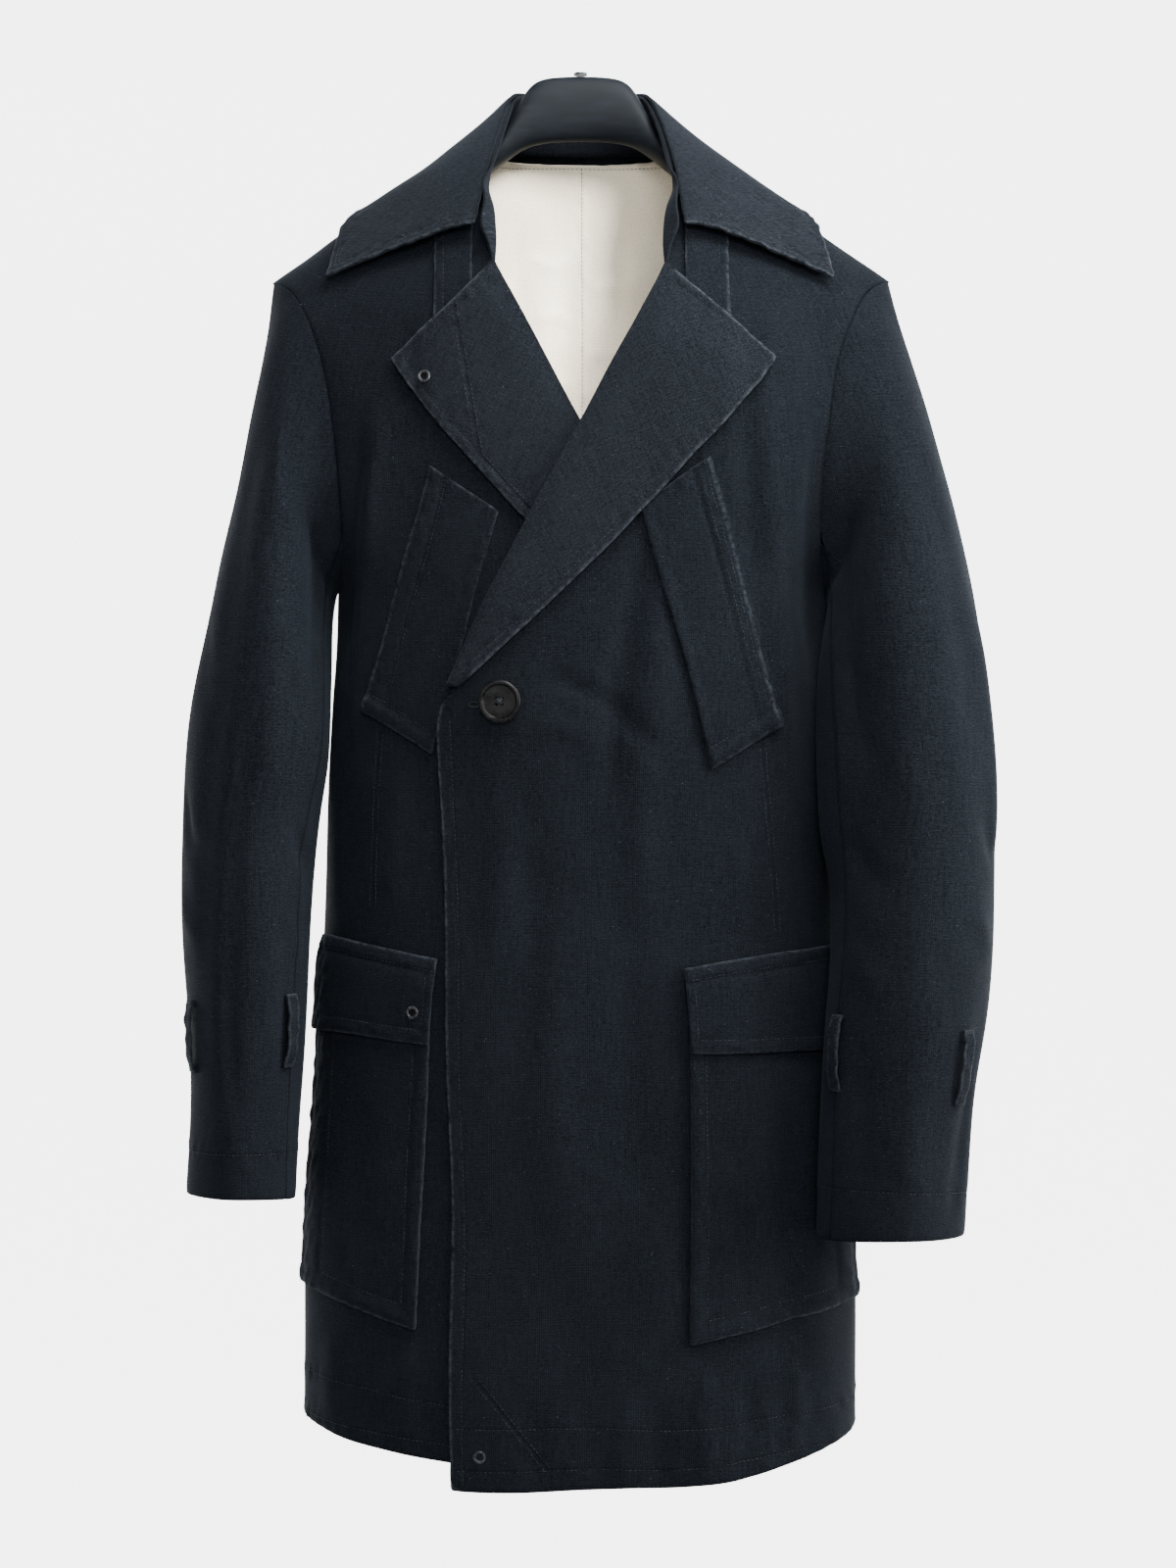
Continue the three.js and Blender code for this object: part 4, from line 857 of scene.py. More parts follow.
def sew(node, lines):
    """Joins all the stitches of a node's rows in one piece."""
    nothing = np.zeros((0, CORNERS_A_STITCH, 3))
    shapes = np.concatenate([stitch_shapes(line, lean) for line, lean in lines] + [nothing])
    if not len(shapes):
        return None
    faces = np.array(STITCH_FACES)[None] + (np.arange(len(shapes)) * CORNERS_A_STITCH)[:, None, None]
    mesh = bpy.data.meshes.new("stitching_" + node)
    mesh.from_pydata((shapes.reshape(-1, 3) * MM).tolist(), [], faces.reshape(-1, 4).tolist())
    mesh.polygons.foreach_set("use_smooth", [True] * len(mesh.polygons))
    piece = bpy.data.objects.new("stitching_" + node, mesh)
    bpy.context.scene.collection.objects.link(piece)
    return piece


# Shader nodes: short calls for what the groups and finishes repeat

FLOAT, VECTOR = "NodeSocketFloat", "NodeSocketVector"


class Net:
    """A tree of shader nodes; a value is an output to link, a number, a vector or a colour."""

    def __init__(self, tree):
        self.tree = tree

    def put(self, socket, value):
        if isinstance(value, bpy.types.NodeSocket):
            self.tree.links.new(value, socket)
        elif isinstance(value, tuple) and len(socket.default_value) == 4:
            socket.default_value = (*value, 1)
        else:
            socket.default_value = value

    def node(self, kind, output, inputs, **settings):
        made = self.tree.nodes.new("ShaderNode" + kind)
        for name, setting in settings.items():
            setattr(made, name, setting)
        for label, value in inputs.items():
            self.put(made.inputs[label], value)
        return made.outputs[output]

    def math(self, operation, first, second):
        return self.node("Math", 0, {0: first, 1: second}, operation=operation)

    def times(self, first, second):
        return self.math("MULTIPLY", first, second)

    def plus(self, first, second):
        return self.math("ADD", first, second)

    def weighted(self, first, share, second):
        """The first value by its share and the second by the rest."""
        return self.plus(self.times(first, share), self.times(second, 1 - share))

    def noise(self, place, scale, detail, rough=0.5):
        inputs = {"Scale": scale, "Detail": detail, "Roughness": rough, "Vector": place}
        return self.node("TexNoise", "Fac", inputs)

    def mapped(self, place, scale, turn=0.0):
        return self.node("Mapping", 0, {"Scale": scale, "Rotation": (0, 0, turn), "Vector": place})

    def long_noise(self, place, scale, detail, rough, turn=0.0):
        """Noise with a scale of its own along each axis."""
        return self.noise(self.mapped(place, scale, turn), 1.0, detail, rough)

    def range(self, value, low, high, to_low=0.0, to_high=1.0):
        ends = {"From Min": low, "From Max": high, "To Min": to_low, "To Max": to_high}
        return self.node("MapRange", "Result", {"Value": value, **ends})

    def mix(self, share, first, second):
        return self.node("Mix", 2, {0: share, 6: first, 7: second}, data_type="RGBA")

    def wave(self, place, pitch, direction, wobble):
        scale = 2 * math.pi / 20 / pitch
        inputs = {"Scale": scale, "Distortion": wobble, "Detail Scale": 0.35, "Vector": place}
        return self.node("TexWave", "Fac", inputs, bands_direction=direction)

    def split(self, value):
        made = self.tree.nodes.new("ShaderNodeSeparateXYZ")
        self.tree.links.new(value, made.inputs[0])
        return made.outputs

    def attribute(self, name, output):
        return self.node("Attribute", output, {}, attribute_name=name)

    def space(self):
        return self.node("TexCoord", "Object", {})

    def group(self, group, **inputs):
        made = self.tree.nodes.new("ShaderNodeGroup")
        made.node_tree = group
        for label, value in inputs.items():
            self.put(made.inputs[label], value)
        return made.outputs

    def bump(self, height, shader, strength=1.0):
        inputs = {"Strength": strength, "Distance": 1.0, "Height": height}
        self.put(shader.inputs["Normal"], self.node("Bump", 0, inputs))


# Node groups that several finishes share

def new_group(name, inputs, outputs):
    """A new group with its sockets, vectors where no number is given: its net, what it is given and makes."""
    group = bpy.data.node_groups.new(name, "ShaderNodeTree")
    for label, value in inputs.items():
        kind = VECTOR if value is None else FLOAT
        socket = group.interface.new_socket(label, in_out="INPUT", socket_type=kind)
        if value is not None:
            socket.default_value = value
    for label in outputs:
        group.interface.new_socket(label, in_out="OUTPUT", socket_type=FLOAT)
    return Net(group), group.nodes.new("NodeGroupInput").outputs, group.nodes.new("NodeGroupOutput").inputs


def woven_threads_group():
    """Warp and weft, with thicker weft threads that run across the cloth."""
    net, given, made = new_group("woven_threads", {"Place": None, "Slub": 1.0}, ["Height", "Tone"])
    place = given["Place"]
    warp = net.wave(place, 0.0013, "X", 1.2)
    weft = net.wave(place, 0.0011, "Y", 1.6)
    grid = net.times(net.plus(warp, weft), 0.5)
    slub = net.long_noise(place, (260, 980, 1), 3.0, 0.6)
    long_slub = net.long_noise(place, (48, 640, 1), 2.0, 0.5)
    warp_slub = net.long_noise(place, (700, 45, 1), 2.0, 0.5)
    specks = net.long_noise(place, (620, 900, 1), 3.0, 0.7)
    runs = net.weighted(net.weighted(slub, 0.74, long_slub), 0.74, warp_slub)
    runs = net.times(net.weighted(runs, 0.52, specks), given["Slub"])
    net.put(made["Height"], net.plus(net.times(grid, 0.00016), net.times(runs, 0.00055)))
    net.put(made["Tone"], net.range(runs, 0.43, 0.58))
    return net.tree


def pale_flecks_group():
    """Sparse pale fibre ends, a little longer than they are wide."""
    net, given, made = new_group("pale_flecks", {"Place": None, "Amount": 0.5}, ["Mask"])
    cells = net.mapped(given["Place"], (230, 420, 1))
    spot = net.range(net.node("TexVoronoi", "Distance", {"Scale": 1.0, "Vector": cells}), 0.16, 0.06)
    rare = net.range(net.noise(given["Place"], 310.0, 2.0), 0.56, 0.64)
    net.put(made["Mask"], net.times(net.times(spot, rare), given["Amount"]))
    return net.tree


def rubbed_edge_group():
    """Where cloth has been rubbed: along a turned edge, broken up by noise."""
    net, given, made = new_group("rubbed_edge", {"Place": None, "Distance": 50.0, "Reach": 2.0}, ["Mask"])
    near = net.range(net.math("DIVIDE", given["Distance"], given["Reach"]), 1.0, 0.1)
    patchy = net.range(net.noise(given["Place"], 260.0, 4.0, 0.65), 0.38, 0.62)
    net.put(made["Mask"], net.times(near, patchy))
    return net.tree


def sewn_ditch_group():
    """Three sewn lines: their depth in metres and a mask of the painted shade in them."""
    inputs = {"Side": None, "Past": None, "Width": 1.3}
    net, given, made = new_group("sewn_ditch", inputs, ["Height", "Mask"])
    sides = net.split(given["Side"])
    pasts = net.split(given["Past"])
    total = None
    for axis in "XYZ":
        share = net.math("DIVIDE", sides[axis], given["Width"])
        line = net.math("POWER", 2.718, net.times(net.times(share, share), -1.0))
        line = net.times(line, net.range(pasts[axis], 1.5, 0.0))
        total = line if total is None else net.math("MAXIMUM", total, line)
    # The mask is where painted shade darkens the cloth in the ditches.
    net.put(made["Mask"], total)
    net.put(made["Height"], net.times(total, -0.0003))
    return net.tree


def grain_group():
    """Fine grain of a moulded or polished surface."""
    net, given, made = new_group("fine_grain", {"Place": None, "Size": 900.0}, ["Height", "Tone"])
    fine = net.noise(given["Place"], given["Size"], 4.0)
    net.put(made["Height"], net.times(fine, 0.0001))
    net.put(made["Tone"], fine)
    return net.tree


WOVEN = woven_threads_group()
FLECKS = pale_flecks_group()
RUBBED = rubbed_edge_group()
DITCH = sewn_ditch_group()
GRAIN = grain_group()


# Finishes

def new_material(name, **settings):
    """A material, its net and its Principled shader with some inputs set."""
    material = bpy.data.materials.new(name)
    material.use_nodes = True
    shader = material.node_tree.nodes["Principled BSDF"]
    for label, value in settings.items():
        shader.inputs[label.replace("_", " ")].default_value = value
    return material, Net(material.node_tree), shader


def cloth_finish(name, colors, tone_share, sheen, rough, specular, rub_reach):
    """A woven cloth: threads, slubs, flecks, rubbed edges, and sewn ditches and seams darkened with painted
    shade.
    """
    dark, pale, rubbed, fleck, sheen_color = colors
    material, net, shader = new_material(
        name,
        Sheen_Weight=sheen,
        Sheen_Roughness=0.45,
        Sheen_Tint=(*sheen_color, 1),
        Specular_IOR_Level=specular,
    )
    flat = net.node("UVMap", 0, {}, uv_map="threads")
    space = net.space()
    woven = net.group(WOVEN, Place=flat, Slub=1.0)
    flecks = net.group(FLECKS, Place=flat, Amount=0.8)
    worn = net.group(RUBBED, Place=space, Distance=net.attribute("edge_mm", "Fac"), Reach=rub_reach)
    # Painted shade: the cloth darkens within a few mm of its seams and in its sewn ditches.
    seam_shade = net.range(net.attribute("seam_mm", "Fac"), 2.2, 0.2)
    height = woven["Height"]
    for end in ("", "_b"):
        sides = net.attribute("sewn_side" + end, "Vector")
        ditch = net.group(DITCH, Side=sides, Past=net.attribute("sewn_past" + end, "Vector"))
        seam_shade = net.math("MAXIMUM", seam_shade, net.times(ditch["Mask"], 0.35))
        height = net.plus(height, ditch["Height"])
    patches = net.range(net.noise(space, 9.0, 3.0, 0.55), 0.35, 0.7)
    color = net.mix(net.weighted(woven["Tone"], tone_share, patches), dark, pale)
    color = net.mix(flecks["Mask"], color, fleck)
    color = net.mix(worn["Mask"], color, rubbed)
    # Painted shade in seams and ditches: the colour goes towards a darker copy of the dark tone.
    color = net.mix(net.times(seam_shade, 0.5), color, tuple(0.45 * channel for channel in dark))
    net.put(shader.inputs["Base Color"], color)
    net.put(shader.inputs["Roughness"], net.range(woven["Tone"], 0, 1, rough + 0.05, rough - 0.06))
    net.bump(height, shader)
    return material


# Colours of each cloth: dark, pale, where it is rubbed, its flecks and its sheen
CANVAS_COLORS = (
    (0.0016, 0.0022, 0.0032), (0.0082, 0.0102, 0.0132), (0.0210, 0.0240, 0.0290),
    (0.050, 0.056, 0.066), (0.60, 0.74, 0.95),
)
# The collar's and lapels' cloth: the canvas colours made a little lighter.
COLLAR_COLORS = (
    (0.0028, 0.0035, 0.0047), (0.0115, 0.0138, 0.0175), (0.0280, 0.0315, 0.0375),
    (0.056, 0.062, 0.072), (0.66, 0.76, 0.92),
)
LINING_COLORS = (
    (0.66, 0.55, 0.38), (0.90, 0.83, 0.68), (0.78, 0.70, 0.56),
    (0.88, 0.82, 0.70), (1.0, 0.96, 0.88),
)
CANVAS = cloth_finish(
    "navy_canvas", CANVAS_COLORS, tone_share=0.82, sheen=0.02, rough=0.88, specular=0.03, rub_reach=2.2
)
COLLAR_CANVAS = cloth_finish(
    "brushed_canvas", COLLAR_COLORS, tone_share=0.85, sheen=0.035, rough=0.90, specular=0.03, rub_reach=2.6
)
LINING = cloth_finish(
    "cream_lining", LINING_COLORS, tone_share=0.55, sheen=0.12, rough=0.62, specular=0.35, rub_reach=3.0
)


def plain_finish(name, mark, colors, roughness, grain=None, streak=None, rough_by_grain=False, **settings):
    """A small part's finish: a mark mixes two colours and two roughnesses, with a fine grain and streaks."""
    material, net, shader = new_material(name, **settings)
    space = net.space()
    share = mark(net, space)
    color = net.mix(share, *colors)
    if streak:
        color = net.mix(net.times(streak[0](net, space), 0.4), color, streak[1])
    net.put(shader.inputs["Base Color"], color)
    fine = net.group(GRAIN, Place=space, Size=grain[0]) if grain else None
    rough_by = fine["Tone"] if rough_by_grain else share
    net.put(shader.inputs["Roughness"], net.range(rough_by, 0, 1, *roughness))
    if grain:
        net.bump(fine["Height"], shader, grain[1])
    return material


def fibre_marks(net, space):
    return net.range(net.noise(space, 130.0, 3.0), 0.40, 0.62)


def handling_marks(net, space):
    return net.range(net.long_noise(space, (30, 30, 190), 4.0, 0.6, 0.3), 0.45, 0.75)


def horn_clouds(net, space):
    return net.range(net.long_noise(space, (60, 60, 150), 4.0, 0.6, 0.6), 0.42, 0.68)


def horn_streaks(net, space):
    return net.range(net.long_noise(space, (420, 60, 90), 3.0, 0.7, 0.3), 0.52, 0.66)


def steel_stains(net, space):
    return net.range(net.noise(space, 420.0, 3.0), 0.40, 0.66)


# Mottle of the painted shade in the holes.
def hole_shade_mottle(net, space):
    return net.range(net.noise(space, 900.0, 3.0), 0.4, 0.7)


# Small parts: their two colours, two roughnesses, and the size and strength of their grain
THREAD = plain_finish(
    "sewing_thread", fibre_marks, ((0.0035, 0.0042, 0.0055), (0.024, 0.026, 0.030)), (0.7, 0.5),
    (2600.0, 0.6), rough_by_grain=True, Specular_IOR_Level=0.08,
)
MOULDING = plain_finish(
    "satin_moulding", handling_marks, ((0.0052, 0.0068, 0.0090), (0.0092, 0.0118, 0.0150)), (0.58, 0.70),
    (1500.0, 0.35), Specular_IOR_Level=0.10,
)
HORN = plain_finish(
    "dark_horn", horn_clouds, ((0.0004, 0.0004, 0.0006), (0.0016, 0.0015, 0.0016)), (0.26, 0.38),
    (700.0, 0.25), (horn_streaks, (0.012, 0.010, 0.009)), Specular_IOR_Level=0.16,
)
METAL = plain_finish(
    "dull_steel", steel_stains, ((0.060, 0.062, 0.066), (0.018, 0.018, 0.020)), (0.34, 0.60), (2000.0, 0.4),
    Metallic=1.0, Specular_IOR_Level=0.5,
)
# Painted shade: the near-black discs in the eyelets and the buttonhole's slit stand in for the dark of the
# holes.
HOLE_SHADE = plain_finish(
    "painted_hole_shade", hole_shade_mottle, ((0.0015, 0.0015, 0.002), (0.006, 0.006, 0.008)), (0.9, 1.0),
    Specular_IOR_Level=0.05,
)

# The room's paper glows behind the coat only: depths in metres where the glow starts and is full
GLOW_FROM = 0.2
GLOW_FULL = 1.2
GLOW_IN_FRONT = 0.02
FRONT_PAPER = (0.46, 0.47, 0.48)


def studio_finish(name, color, glow):
    material, net, shader = new_material(name, Roughness=0.9, Specular_IOR_Level=0.1)
    space = net.space()
    patches = net.range(net.noise(space, 1.2, 2.0), 0.3, 0.7)
    paper = net.mix(patches, color, tuple(min(1.0, channel * 1.01) for channel in color))
    behind = net.range(net.split(space)["Y"], GLOW_FROM, GLOW_FULL)
    net.put(shader.inputs["Base Color"], net.mix(behind, FRONT_PAPER, paper))
    net.put(shader.inputs["Emission Color"], net.mix(behind, (GLOW_IN_FRONT,) * 3, (1.0, 1.0, 1.0)))
    shader.inputs["Emission Strength"].default_value = glow
    return material


def finish_of(node):
    if node == "lining_back":
        return LINING
    return COLLAR_CANVAS if node in COLLAR_CLOTH else CANVAS


def dress(piece, material, *nodes):
    """Gives a piece its finish, and its place in the frame."""
    piece.data.materials.clear()
    piece.data.materials.append(material)
    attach(piece, ROOT)
    if nodes:
        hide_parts(*nodes)


# Studio: a round pale room whose floor curves up into its wall, soft boxes and the camera

FLOOR_Z = -1.5
ROOM_RADIUS = 4.6
ROOM_CURVE = 2.3
ROOM_TOP = 2.6
ROOM_SIDES = 96
CURVE_STEPS = 14
STUDIO_COLOR = (0.90, 0.90, 0.905)
STUDIO_GLOW = 3.0
WORLD_COLOR = (0.92, 0.96, 1.0)
WORLD_STRENGTH = 0.05

# Soft boxes: place, target, width, height, watts, spread in degrees
SOFT_BOXES = {
    "key_right": ((1.9, -1.1, 1.2), (0, 0, -0.25), 0.8, 0.9, 80),
    "side_right": ((2.4, -0.8, -0.15), (0.25, 0, -0.5), 0.8, 1.5, 95),
    "fill_left": ((-2.4, -0.9, 1.0), (0, 0, -0.4), 0.9, 1.2, 6),
    "overhead": ((0.45, -0.75, 1.1), (0.05, 0, -0.2), 1.0, 0.7, 76),
    "front": ((0.1, -2.6, 0.4), (0.03, 0, -0.40), 0.8, 0.6, 4, 42),
}
NECK_BOX = ((0.5, -1.0, 0.45), (0.0, 0.06, -0.18), 0.3, 0.3, 105)


def build_room():
    profile = []
    for step in range(CURVE_STEPS + 1):
        turn = step / CURVE_STEPS * math.pi / 2
        radius = ROOM_RADIUS - ROOM_CURVE + ROOM_CURVE * math.sin(turn)
        profile.append((radius, FLOOR_Z + ROOM_CURVE - ROOM_CURVE * math.cos(turn)))
    profile.append((ROOM_RADIUS, ROOM_TOP))
    bpy.ops.mesh.primitive_circle_add(
        vertices=ROOM_SIDES, radius=profile[0][0], location=(0, 0, FLOOR_Z), fill_type="NGON"
    )
    room = bpy.context.object
    room.name = "studio_room"
    bpy.ops.object.transform_apply(location=True, rotation=True, scale=True)
    bpy.ops.object.mode_set(mode="EDIT")
    bpy.ops.mesh.select_all(action="SELECT")
    bpy.ops.mesh.select_mode(type="EDGE")
    bpy.ops.mesh.region_to_loop()
    for (near, low), (far, high) in zip(profile, profile[1:]):
        bpy.ops.mesh.extrude_edges_move(TRANSFORM_OT_translate={"value": (0, 0, high - low)})
        bpy.ops.transform.resize(value=(far / near, far / near, 1), center_override=(0, 0, high))
    bpy.ops.mesh.select_all(action="SELECT")
    bpy.ops.mesh.normals_make_consistent(inside=True)
    bpy.ops.object.mode_set(mode="OBJECT")
    bpy.ops.object.shade_smooth()
    room.data.materials.append(studio_finish("pale_paper", STUDIO_COLOR, STUDIO_GLOW))


def add_soft_box(name, place, target, wide, high, watts, spread=180):
    bpy.ops.object.light_add(type="AREA", location=place)
    light = bpy.context.object
    light.name = name
    light.data.shape = "RECTANGLE"
    light.data.size = wide
    light.data.size_y = high
    light.data.energy = watts
    light.data.spread = math.radians(spread)
    light.rotation_euler = (Vector(target) - Vector(place)).to_track_quat("-Z", "Y").to_euler()
    return light


def light_the_neck():
    """A small soft box for the pale lining alone."""
    lit = bpy.data.collections.new("lit_in_the_neck")
    lit.objects.link(bpy.data.objects["cloth_lining_back"])
    add_soft_box("neck_box", *NECK_BOX).light_linking.receiver_collection = lit


def build_lights():
    for name, box in SOFT_BOXES.items():
        add_soft_box(name, *box)
    world = bpy.data.worlds.new("studio_air")
    world.use_nodes = True
    world.node_tree.nodes["Background"].inputs["Color"].default_value = (*WORLD_COLOR, 1)
    world.node_tree.nodes["Background"].inputs["Strength"].default_value = WORLD_STRENGTH
    bpy.context.scene.world = world


def build_camera():
    bpy.ops.object.camera_add(location=CAMERA_AT, rotation=(math.pi / 2, 0, 0))
    camera = bpy.context.object
    camera.data.sensor_fit = "AUTO"
    camera.data.sensor_width = SENSOR
    camera.data.lens = SENSOR / 2 / (HALF_VIEW / VIEW_DISTANCE)
    bpy.context.scene.camera = camera


bpy.ops.object.select_all(action="DESELECT")
build_camera()
build_room()
build_lights()


# Cloth pieces

def vertex_normals(mesh):
    flat = np.empty(len(mesh.vertices) * 3, np.float32)
    mesh.vertex_normals.foreach_get("vector", flat)
    return flat.reshape(-1, 3).astype(float)


def make_cloth(node):
    levels, wide, long, area, held = CLOTH[node]
    piece = copy_of_node(node, "cloth_" + node)
    mark_walls(piece, outward_of(node))
    subdivide(piece, levels)
    mesh = piece.data
    points = read_points(mesh) / MM
    corners, walls = face_corners(mesh)
    outer = np.zeros(len(points), bool)
    shown = SHOWN_WALL.get(node, 0)
    outer[corners[walls == shown].ravel()] = True
    outward = outward_of(node)(points)
    across, along = thread_map(node, points)

    turned = TURNED_EDGES.get(node)
    far = edge_distances(node, points) if node in LAID else None
    seam = np.full(len(points), FAR)
    rims = rim_normals(mesh, corners, walls)
    if far is not None:
        edge = np.min([np.abs(distance) for distance in far.values()], axis=0)
    else:
        free = free_edge(node, points, rims)
        edge = rim_distance(points, corners, walls, free)
        seam = rim_distance(points, corners, walls, ~free)
    fields = sewn_fields(node, points)

    moved = moved_cloth(node, points)
    ripple = np.sin(points @ PUCKER[0].T + PUCKER[2]).sum(axis=1) / math.sqrt(PUCKER_WAVES[2])
    near = np.minimum(edge, PUCKER_REACH * 3)
    for side, past, _ in fields:
        near = np.minimum(near, np.hypot(side, np.maximum(past, 0)))
    if turned:
        near = np.minimum(near, np.abs(edge - turned[1]))
    strength = PUCKER_WAVES[1] * bump_of(near, PUCKER_REACH)
    moved += (ripple * strength)[:, None] * outward
    if far is not None:
        moved += (RELIEFS[node.split("_")[0]](far) * outer)[:, None] * outward
    if turned:
        moved += (turned_relief(edge, turned[1]) * outer)[:, None] * outward
    if far is None:
        moved += (SEAM_CLOSING * (seam < SEAM_RIM))[:, None] * rims
    moved -= (SEAM_DEPTH * bump_of(seam, SEAM_REACH))[:, None] * outward
    moved += hem_roll(edge, node)[:, None] * outward
    for place, reach, shift in LOCAL_SHIFTS.get(node, []):
        moved += bump_of(np.linalg.norm(points - np.array(place), axis=1), reach)[:, None] * np.array(shift)
    write_points(mesh, moved * MM)

    put_values(mesh, "edge_mm", np.minimum(edge, FAR))
    put_values(mesh, "seam_mm", np.minimum(seam, FAR))
    for end, group in (("", fields[:3]), ("_b", fields[3:6])):
        unused = 3 - len(group)
        sides = [side for side, _, _ in group] + [np.full(len(points), SIDE_REACH)] * unused
        pasts = [past for _, past, _ in group] + [np.full(len(points), PAST_REACH)] * unused
        put_values(mesh, "sewn_side" + end, np.clip(np.stack(sides, axis=1), -SIDE_REACH, SIDE_REACH))
        put_values(mesh, "sewn_past" + end, np.stack(pasts, axis=1))
    put_threads(mesh, corners, across, along)

    mesh.polygons.foreach_set("material_index", [0] * len(mesh.polygons))
    pick_only(piece)
    bpy.ops.object.shade_smooth()
    dress(piece, finish_of(node), node)
    return lines_of(node, moved, mesh, corners, walls, edge, seam, far, fields)


# Least distances in mm of a stitch row from an edge and a seam, and how far from its line it is looked for
OFF_EDGE = 1.5
OFF_SEAM = 0.8
ROW_SEARCH = 30


def lines_of(node, points, mesh, corners, walls, edge, seam, far, fields):
    """All the stitch rows of a piece of cloth."""
    normals = vertex_normals(mesh)
    quads = corners[walls == SHOWN_WALL.get(node, 0)]
    everywhere = np.ones(len(points), bool)
    lines = []
    for side, past, rows in fields:
        keep = (past <= 0) & (edge > OFF_EDGE) & (seam > OFF_SEAM) & (np.abs(side) < ROW_SEARCH)
        for row in rows:
            level = 0 if len(rows) == 1 else row
            lines += contour(points, normals, quads, side, level, keep)
    for name, row, trims in LAID_ROWS.get(node, []):
        keep = everywhere.copy()
        for other, least in trims.items():
            keep &= far[other] >= least
        lines += contour(points, normals, quads, far[name], row, keep)
    for row in EDGE_ROWS.get(node, []):
        lines += contour(points, normals, quads, edge, row, everywhere)
    return lines


for node in CLOTH:
    seams = make_cloth(node)
    stitches = sew(node, seams)
    if stitches:
        dress(stitches, THREAD)


# Button, buttonhole, eyelets, hanger and socket, in mm

BUTTON_RADIUS = 15.5
BUTTON_HOLE_REACH = 2.03
BUTTON_HOLE_RADIUS = 1.15
BUTTON_BEVEL = 1.1
BUTTON_RIM = 0.2

# Steps of the button's face and back towards their middles: width and lift
FACE_STEPS = ((1.5, 0.1), (1.3, -0.1), (0.5, -0.8), (0.6, -0.7), (3.2, 0.0))
BACK_STEPS = ((1.4, 0.0), (1.0, 0.6))

# Crossed strands of the button's thread: the holes that each joins, and its side
STRANDS = ((0, 2, 1), (1, 3, 1), (0, 2, -1), (1, 3, -1))
STRAND_SWAY = 0.28
STRAND_RADIUS = 0.30
STRAND_FLOOR = 1.5
STRAND_RISE = 0.55
STRAND_STACK = 0.12
STRAND_DIP = 1.2
STRAND_POINTS = 9

# Rings of the buttonhole's end and of the eyelets, the discs of painted shade in them, and how far these lie
# over the cloth
BUTTONHOLE_END = (-76.5, -476.5)
BUTTONHOLE_RADIUS = 4.2
BUTTONHOLE_HALF_THICK = 0.75
BUTTONHOLE_STEPS = ((0.5, 0.0),)
SLIT_LIFT = 0.2
BUTTONHOLE_NARROW = 0.42
BUTTONHOLE_FLAT = 0.8
EYELET_RADIUS = 3.7
EYELET_HALF_THICK = 1.1
EYELET_HOLE = 2.7
EYELET_STEPS = ((0.6, -0.15), (0.8, -0.2))
EYELET_HOLE_LIFT = 0.15
EYELETS = ("eyelet_lapel", "eyelet_flap", "eyelet_hem")


def flat_axis(node):
    """A small node's middle, the direction out of the front that it faces, and its thickness."""
    spots = read_points(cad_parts[node].data)
    middle = (spots.min(axis=0) + spots.max(axis=0)) / 2
    _, _, turns = np.linalg.svd(spots - spots.mean(axis=0), full_matrices=False)
    normal = turns[2] if turns[2][1] < 0 else -turns[2]
    depth = (spots - middle) @ normal
    return Vector(middle), Vector(normal), depth.max() - depth.min()


def stand_in(piece, middle, normal):
    """Puts a piece modelled upright at the origin where it belongs, with its place in its mesh."""
    piece.matrix_world = normal.to_track_quat("Z", "Y").to_matrix().to_4x4()
    piece.location = middle
    pick_only(piece)
    bpy.ops.object.transform_apply(location=True, rotation=True, scale=True)


def step_in(form_of, up, steps):
    """In edit mode, insets the flat faces that look up or down in steps."""
    form = bmesh.from_edit_mesh(form_of)
    form.select_mode = {"FACE"}
    for face in form.faces:
        face.select = face.normal.z * up > 0.9
    form.select_flush_mode()
    bmesh.update_edit_mesh(form_of)
    for inset, lift in steps:
        bpy.ops.mesh.inset(thickness=inset * MM, depth=lift * MM)


def make_button():
    middle, normal, thick = flat_axis("button")
    bpy.ops.mesh.primitive_cylinder_add(
        vertices=64, radius=BUTTON_RADIUS * MM, depth=thick, end_fill_type="NGON"
    )
    piece = bpy.context.object
    piece.name = "button_disc"
    bpy.ops.object.mode_set(mode="EDIT")
    step_in(piece.data, 1, FACE_STEPS)
    step_in(piece.data, -1, BACK_STEPS)
    form = bmesh.from_edit_mesh(piece.data)
    for edge in form.edges:
        far = max(math.hypot(*vertex.co.xy) for vertex in edge.verts) > (BUTTON_RADIUS - BUTTON_RIM) * MM
        flat = abs(edge.verts[0].co.z - edge.verts[1].co.z) < 0.1 * MM
        edge.select = far and flat
    bmesh.update_edit_mesh(piece.data)
    bpy.ops.mesh.bevel(offset=BUTTON_BEVEL * MM, segments=4)
    bpy.ops.object.mode_set(mode="OBJECT")
    cut_holes(piece, thick)
    pick_only(piece)
    bpy.ops.object.shade_smooth_by_angle(angle=math.radians(38))
    stand_in(piece, middle, normal)
    dress(piece, HORN, "button")
    make_button_thread(middle, normal, thick)


def hole_places():
    reach = BUTTON_HOLE_REACH * MM
    return [(x * reach, y * reach) for x, y in ((-1, -1), (1, -1), (1, 1), (-1, 1))]


def cut_holes(piece, thick):
    """Drills the four thread holes through the button."""
    bpy.ops.object.select_all(action="DESELECT")
    drills = []
    for x, y in hole_places():
        bpy.ops.mesh.primitive_cylinder_add(
            vertices=20, radius=BUTTON_HOLE_RADIUS * MM, depth=4 * thick, location=(x, y, 0)
        )
        drills.append(bpy.context.object)
    for drill in drills:
        cut = piece.modifiers.new("hole", "BOOLEAN")
        cut.operation = "DIFFERENCE"
        cut.solver = "EXACT"
        cut.object = drill
        pick_only(piece)
        bpy.ops.object.modifier_apply(modifier=cut.name)
    for drill in drills:
        bpy.data.objects.remove(drill, do_unlink=True)


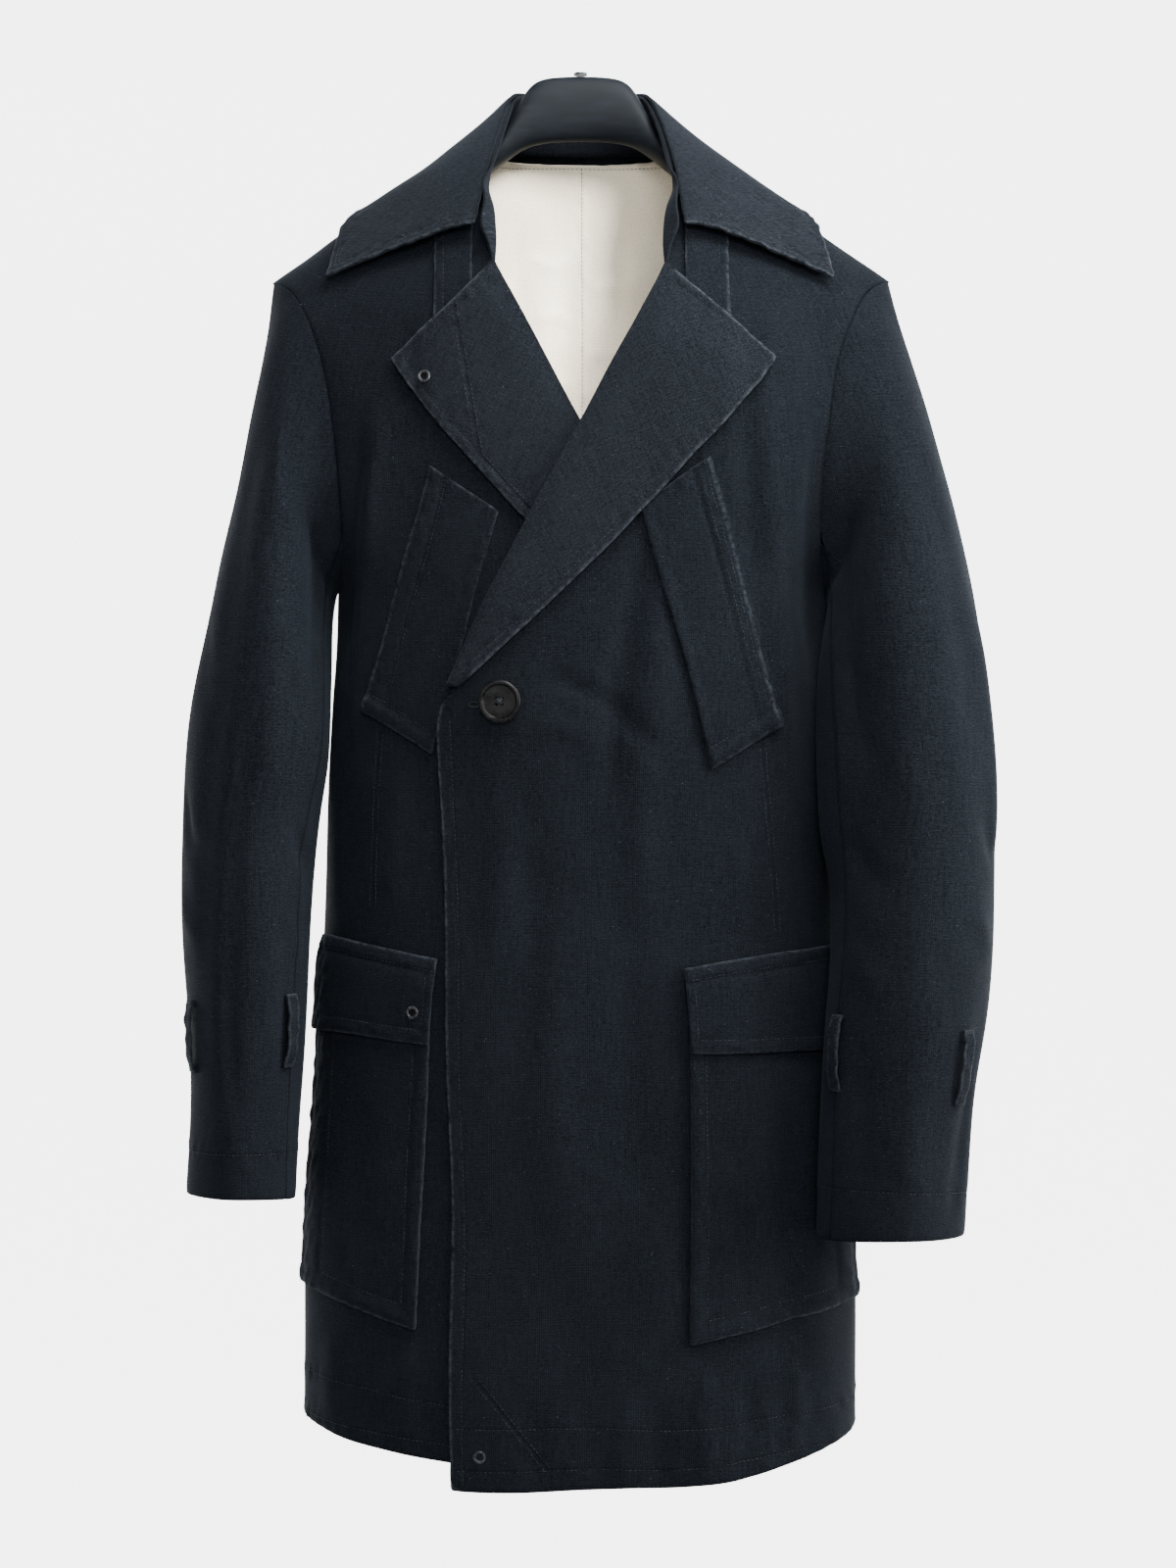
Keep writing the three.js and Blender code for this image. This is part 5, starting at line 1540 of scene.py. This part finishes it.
def make_button_thread(middle, normal, thick):
    """Crossed threads through the four holes."""
    holes = np.array(hole_places())
    strands = []
    for number, (start, end, turn) in enumerate(STRANDS):
        run = holes[end] - holes[start]
        sway = np.array((-run[1], run[0])) / np.linalg.norm(run) * STRAND_SWAY * MM * turn
        curve = bpy.data.curves.new("strand", "CURVE")
        curve.dimensions = "3D"
        curve.bevel_depth = STRAND_RADIUS * MM
        curve.bevel_resolution = 2
        curve.use_fill_caps = True
        line = curve.splines.new("POLY")
        line.points.add(STRAND_POINTS - 1)
        for k in range(STRAND_POINTS):
            share = k / (STRAND_POINTS - 1)
            lift = -STRAND_DIP
            if 0 < share < 1:
                lift = (STRAND_RISE + STRAND_STACK * number) * math.sin(math.pi * share) ** 0.5
            spot = holes[start] + run * share + sway
            line.points[k].co = (*spot, thick / 2 + (lift - STRAND_FLOOR) * MM, 1)
        strand = bpy.data.objects.new("strand", curve)
        bpy.context.scene.collection.objects.link(strand)
        strands.append(strand)
    bpy.ops.object.select_all(action="DESELECT")
    for strand in strands:
        strand.select_set(True)
    bpy.context.view_layer.objects.active = strands[0]
    bpy.ops.object.convert(target="MESH")
    bpy.ops.object.join()
    piece = bpy.context.object
    piece.name = "button_thread"
    pick_only(piece)
    bpy.ops.object.shade_smooth()
    stand_in(piece, middle, normal)
    dress(piece, THREAD)


def shape_new(name, stretch, steps, place, normal):
    """Names, stretches and insets the piece just added, and puts it in its place."""
    piece = bpy.context.object
    piece.name = name
    bpy.ops.object.mode_set(mode="EDIT")
    bpy.ops.mesh.select_all(action="SELECT")
    bpy.ops.transform.resize(value=stretch)
    for inset, lift in steps:
        bpy.ops.mesh.inset(thickness=inset * MM, depth=lift * MM)
    bpy.ops.object.mode_set(mode="OBJECT")
    bpy.ops.object.shade_smooth()
    stand_in(piece, place, normal)
    return piece


def make_ring(name, sizes, stretch, place, normal):
    """A ring by its radius and half thickness in mm and its segments round and across."""
    radius, half_thick, around, across = sizes
    bpy.ops.object.select_all(action="DESELECT")
    bpy.ops.mesh.primitive_torus_add(
        major_segments=around, minor_segments=across, major_radius=radius * MM, minor_radius=half_thick * MM
    )
    return shape_new(name, stretch, (), place, normal)


def make_hole_shade(name, radius, stretch, steps, place, normal):
    """A disc of painted shade in a ring, for the dark of a hole."""
    bpy.ops.object.select_all(action="DESELECT")
    bpy.ops.mesh.primitive_circle_add(vertices=32, radius=radius * MM, fill_type="NGON")
    dress(shape_new(name, stretch, steps, place, normal), HOLE_SHADE)


def make_buttonhole_end():
    """The stitched end of the buttonhole, which shows beside the button."""
    x, z = BUTTONHOLE_END
    front = bpy.data.objects["cloth_front_left"]
    hit, spot, normal, _ = front.ray_cast((x * MM, -1.0, z * MM), (0, 1, 0))
    if not hit:
        return
    stretch = (1, BUTTONHOLE_NARROW, BUTTONHOLE_FLAT)
    sizes = (BUTTONHOLE_RADIUS, BUTTONHOLE_HALF_THICK, 40, 10)
    dress(make_ring("buttonhole_end", sizes, stretch, spot, normal), THREAD)
    # The slit is a disc of painted shade over the cloth.
    above = spot + normal * SLIT_LIFT * MM
    stretch = (1, BUTTONHOLE_NARROW, 1)
    make_hole_shade("buttonhole_slit_shade", BUTTONHOLE_RADIUS, stretch, BUTTONHOLE_STEPS, above, normal)


def make_eyelet(node):
    """A rolled steel ring, with a disc of painted shade for its hole."""
    middle, normal, thick = flat_axis(node)
    stretch = (1, 1, thick / (2 * EYELET_HALF_THICK * MM))
    sizes = (EYELET_RADIUS, EYELET_HALF_THICK, 48, 16)
    dress(make_ring(node + "_ring", sizes, stretch, middle, normal), METAL, node)
    # The eyelet's hole is a disc of painted shade over the cloth.
    above = middle + normal * EYELET_HOLE_LIFT * MM
    make_hole_shade(node + "_hole", EYELET_HOLE, (1, 1, 1), EYELET_STEPS, above, normal)


def make_hanger():
    piece = copy_of_node("hanger", "hanger_body")
    subdivide(piece, 2)
    pick_only(piece)
    bpy.ops.object.shade_smooth_by_angle(angle=math.radians(55))
    dress(piece, MOULDING, "hanger")


make_button()
make_buttonhole_end()
for node in EYELETS:
    make_eyelet(node)
make_hanger()
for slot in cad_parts["hook_socket"].material_slots:
    slot.material = METAL

light_the_neck()
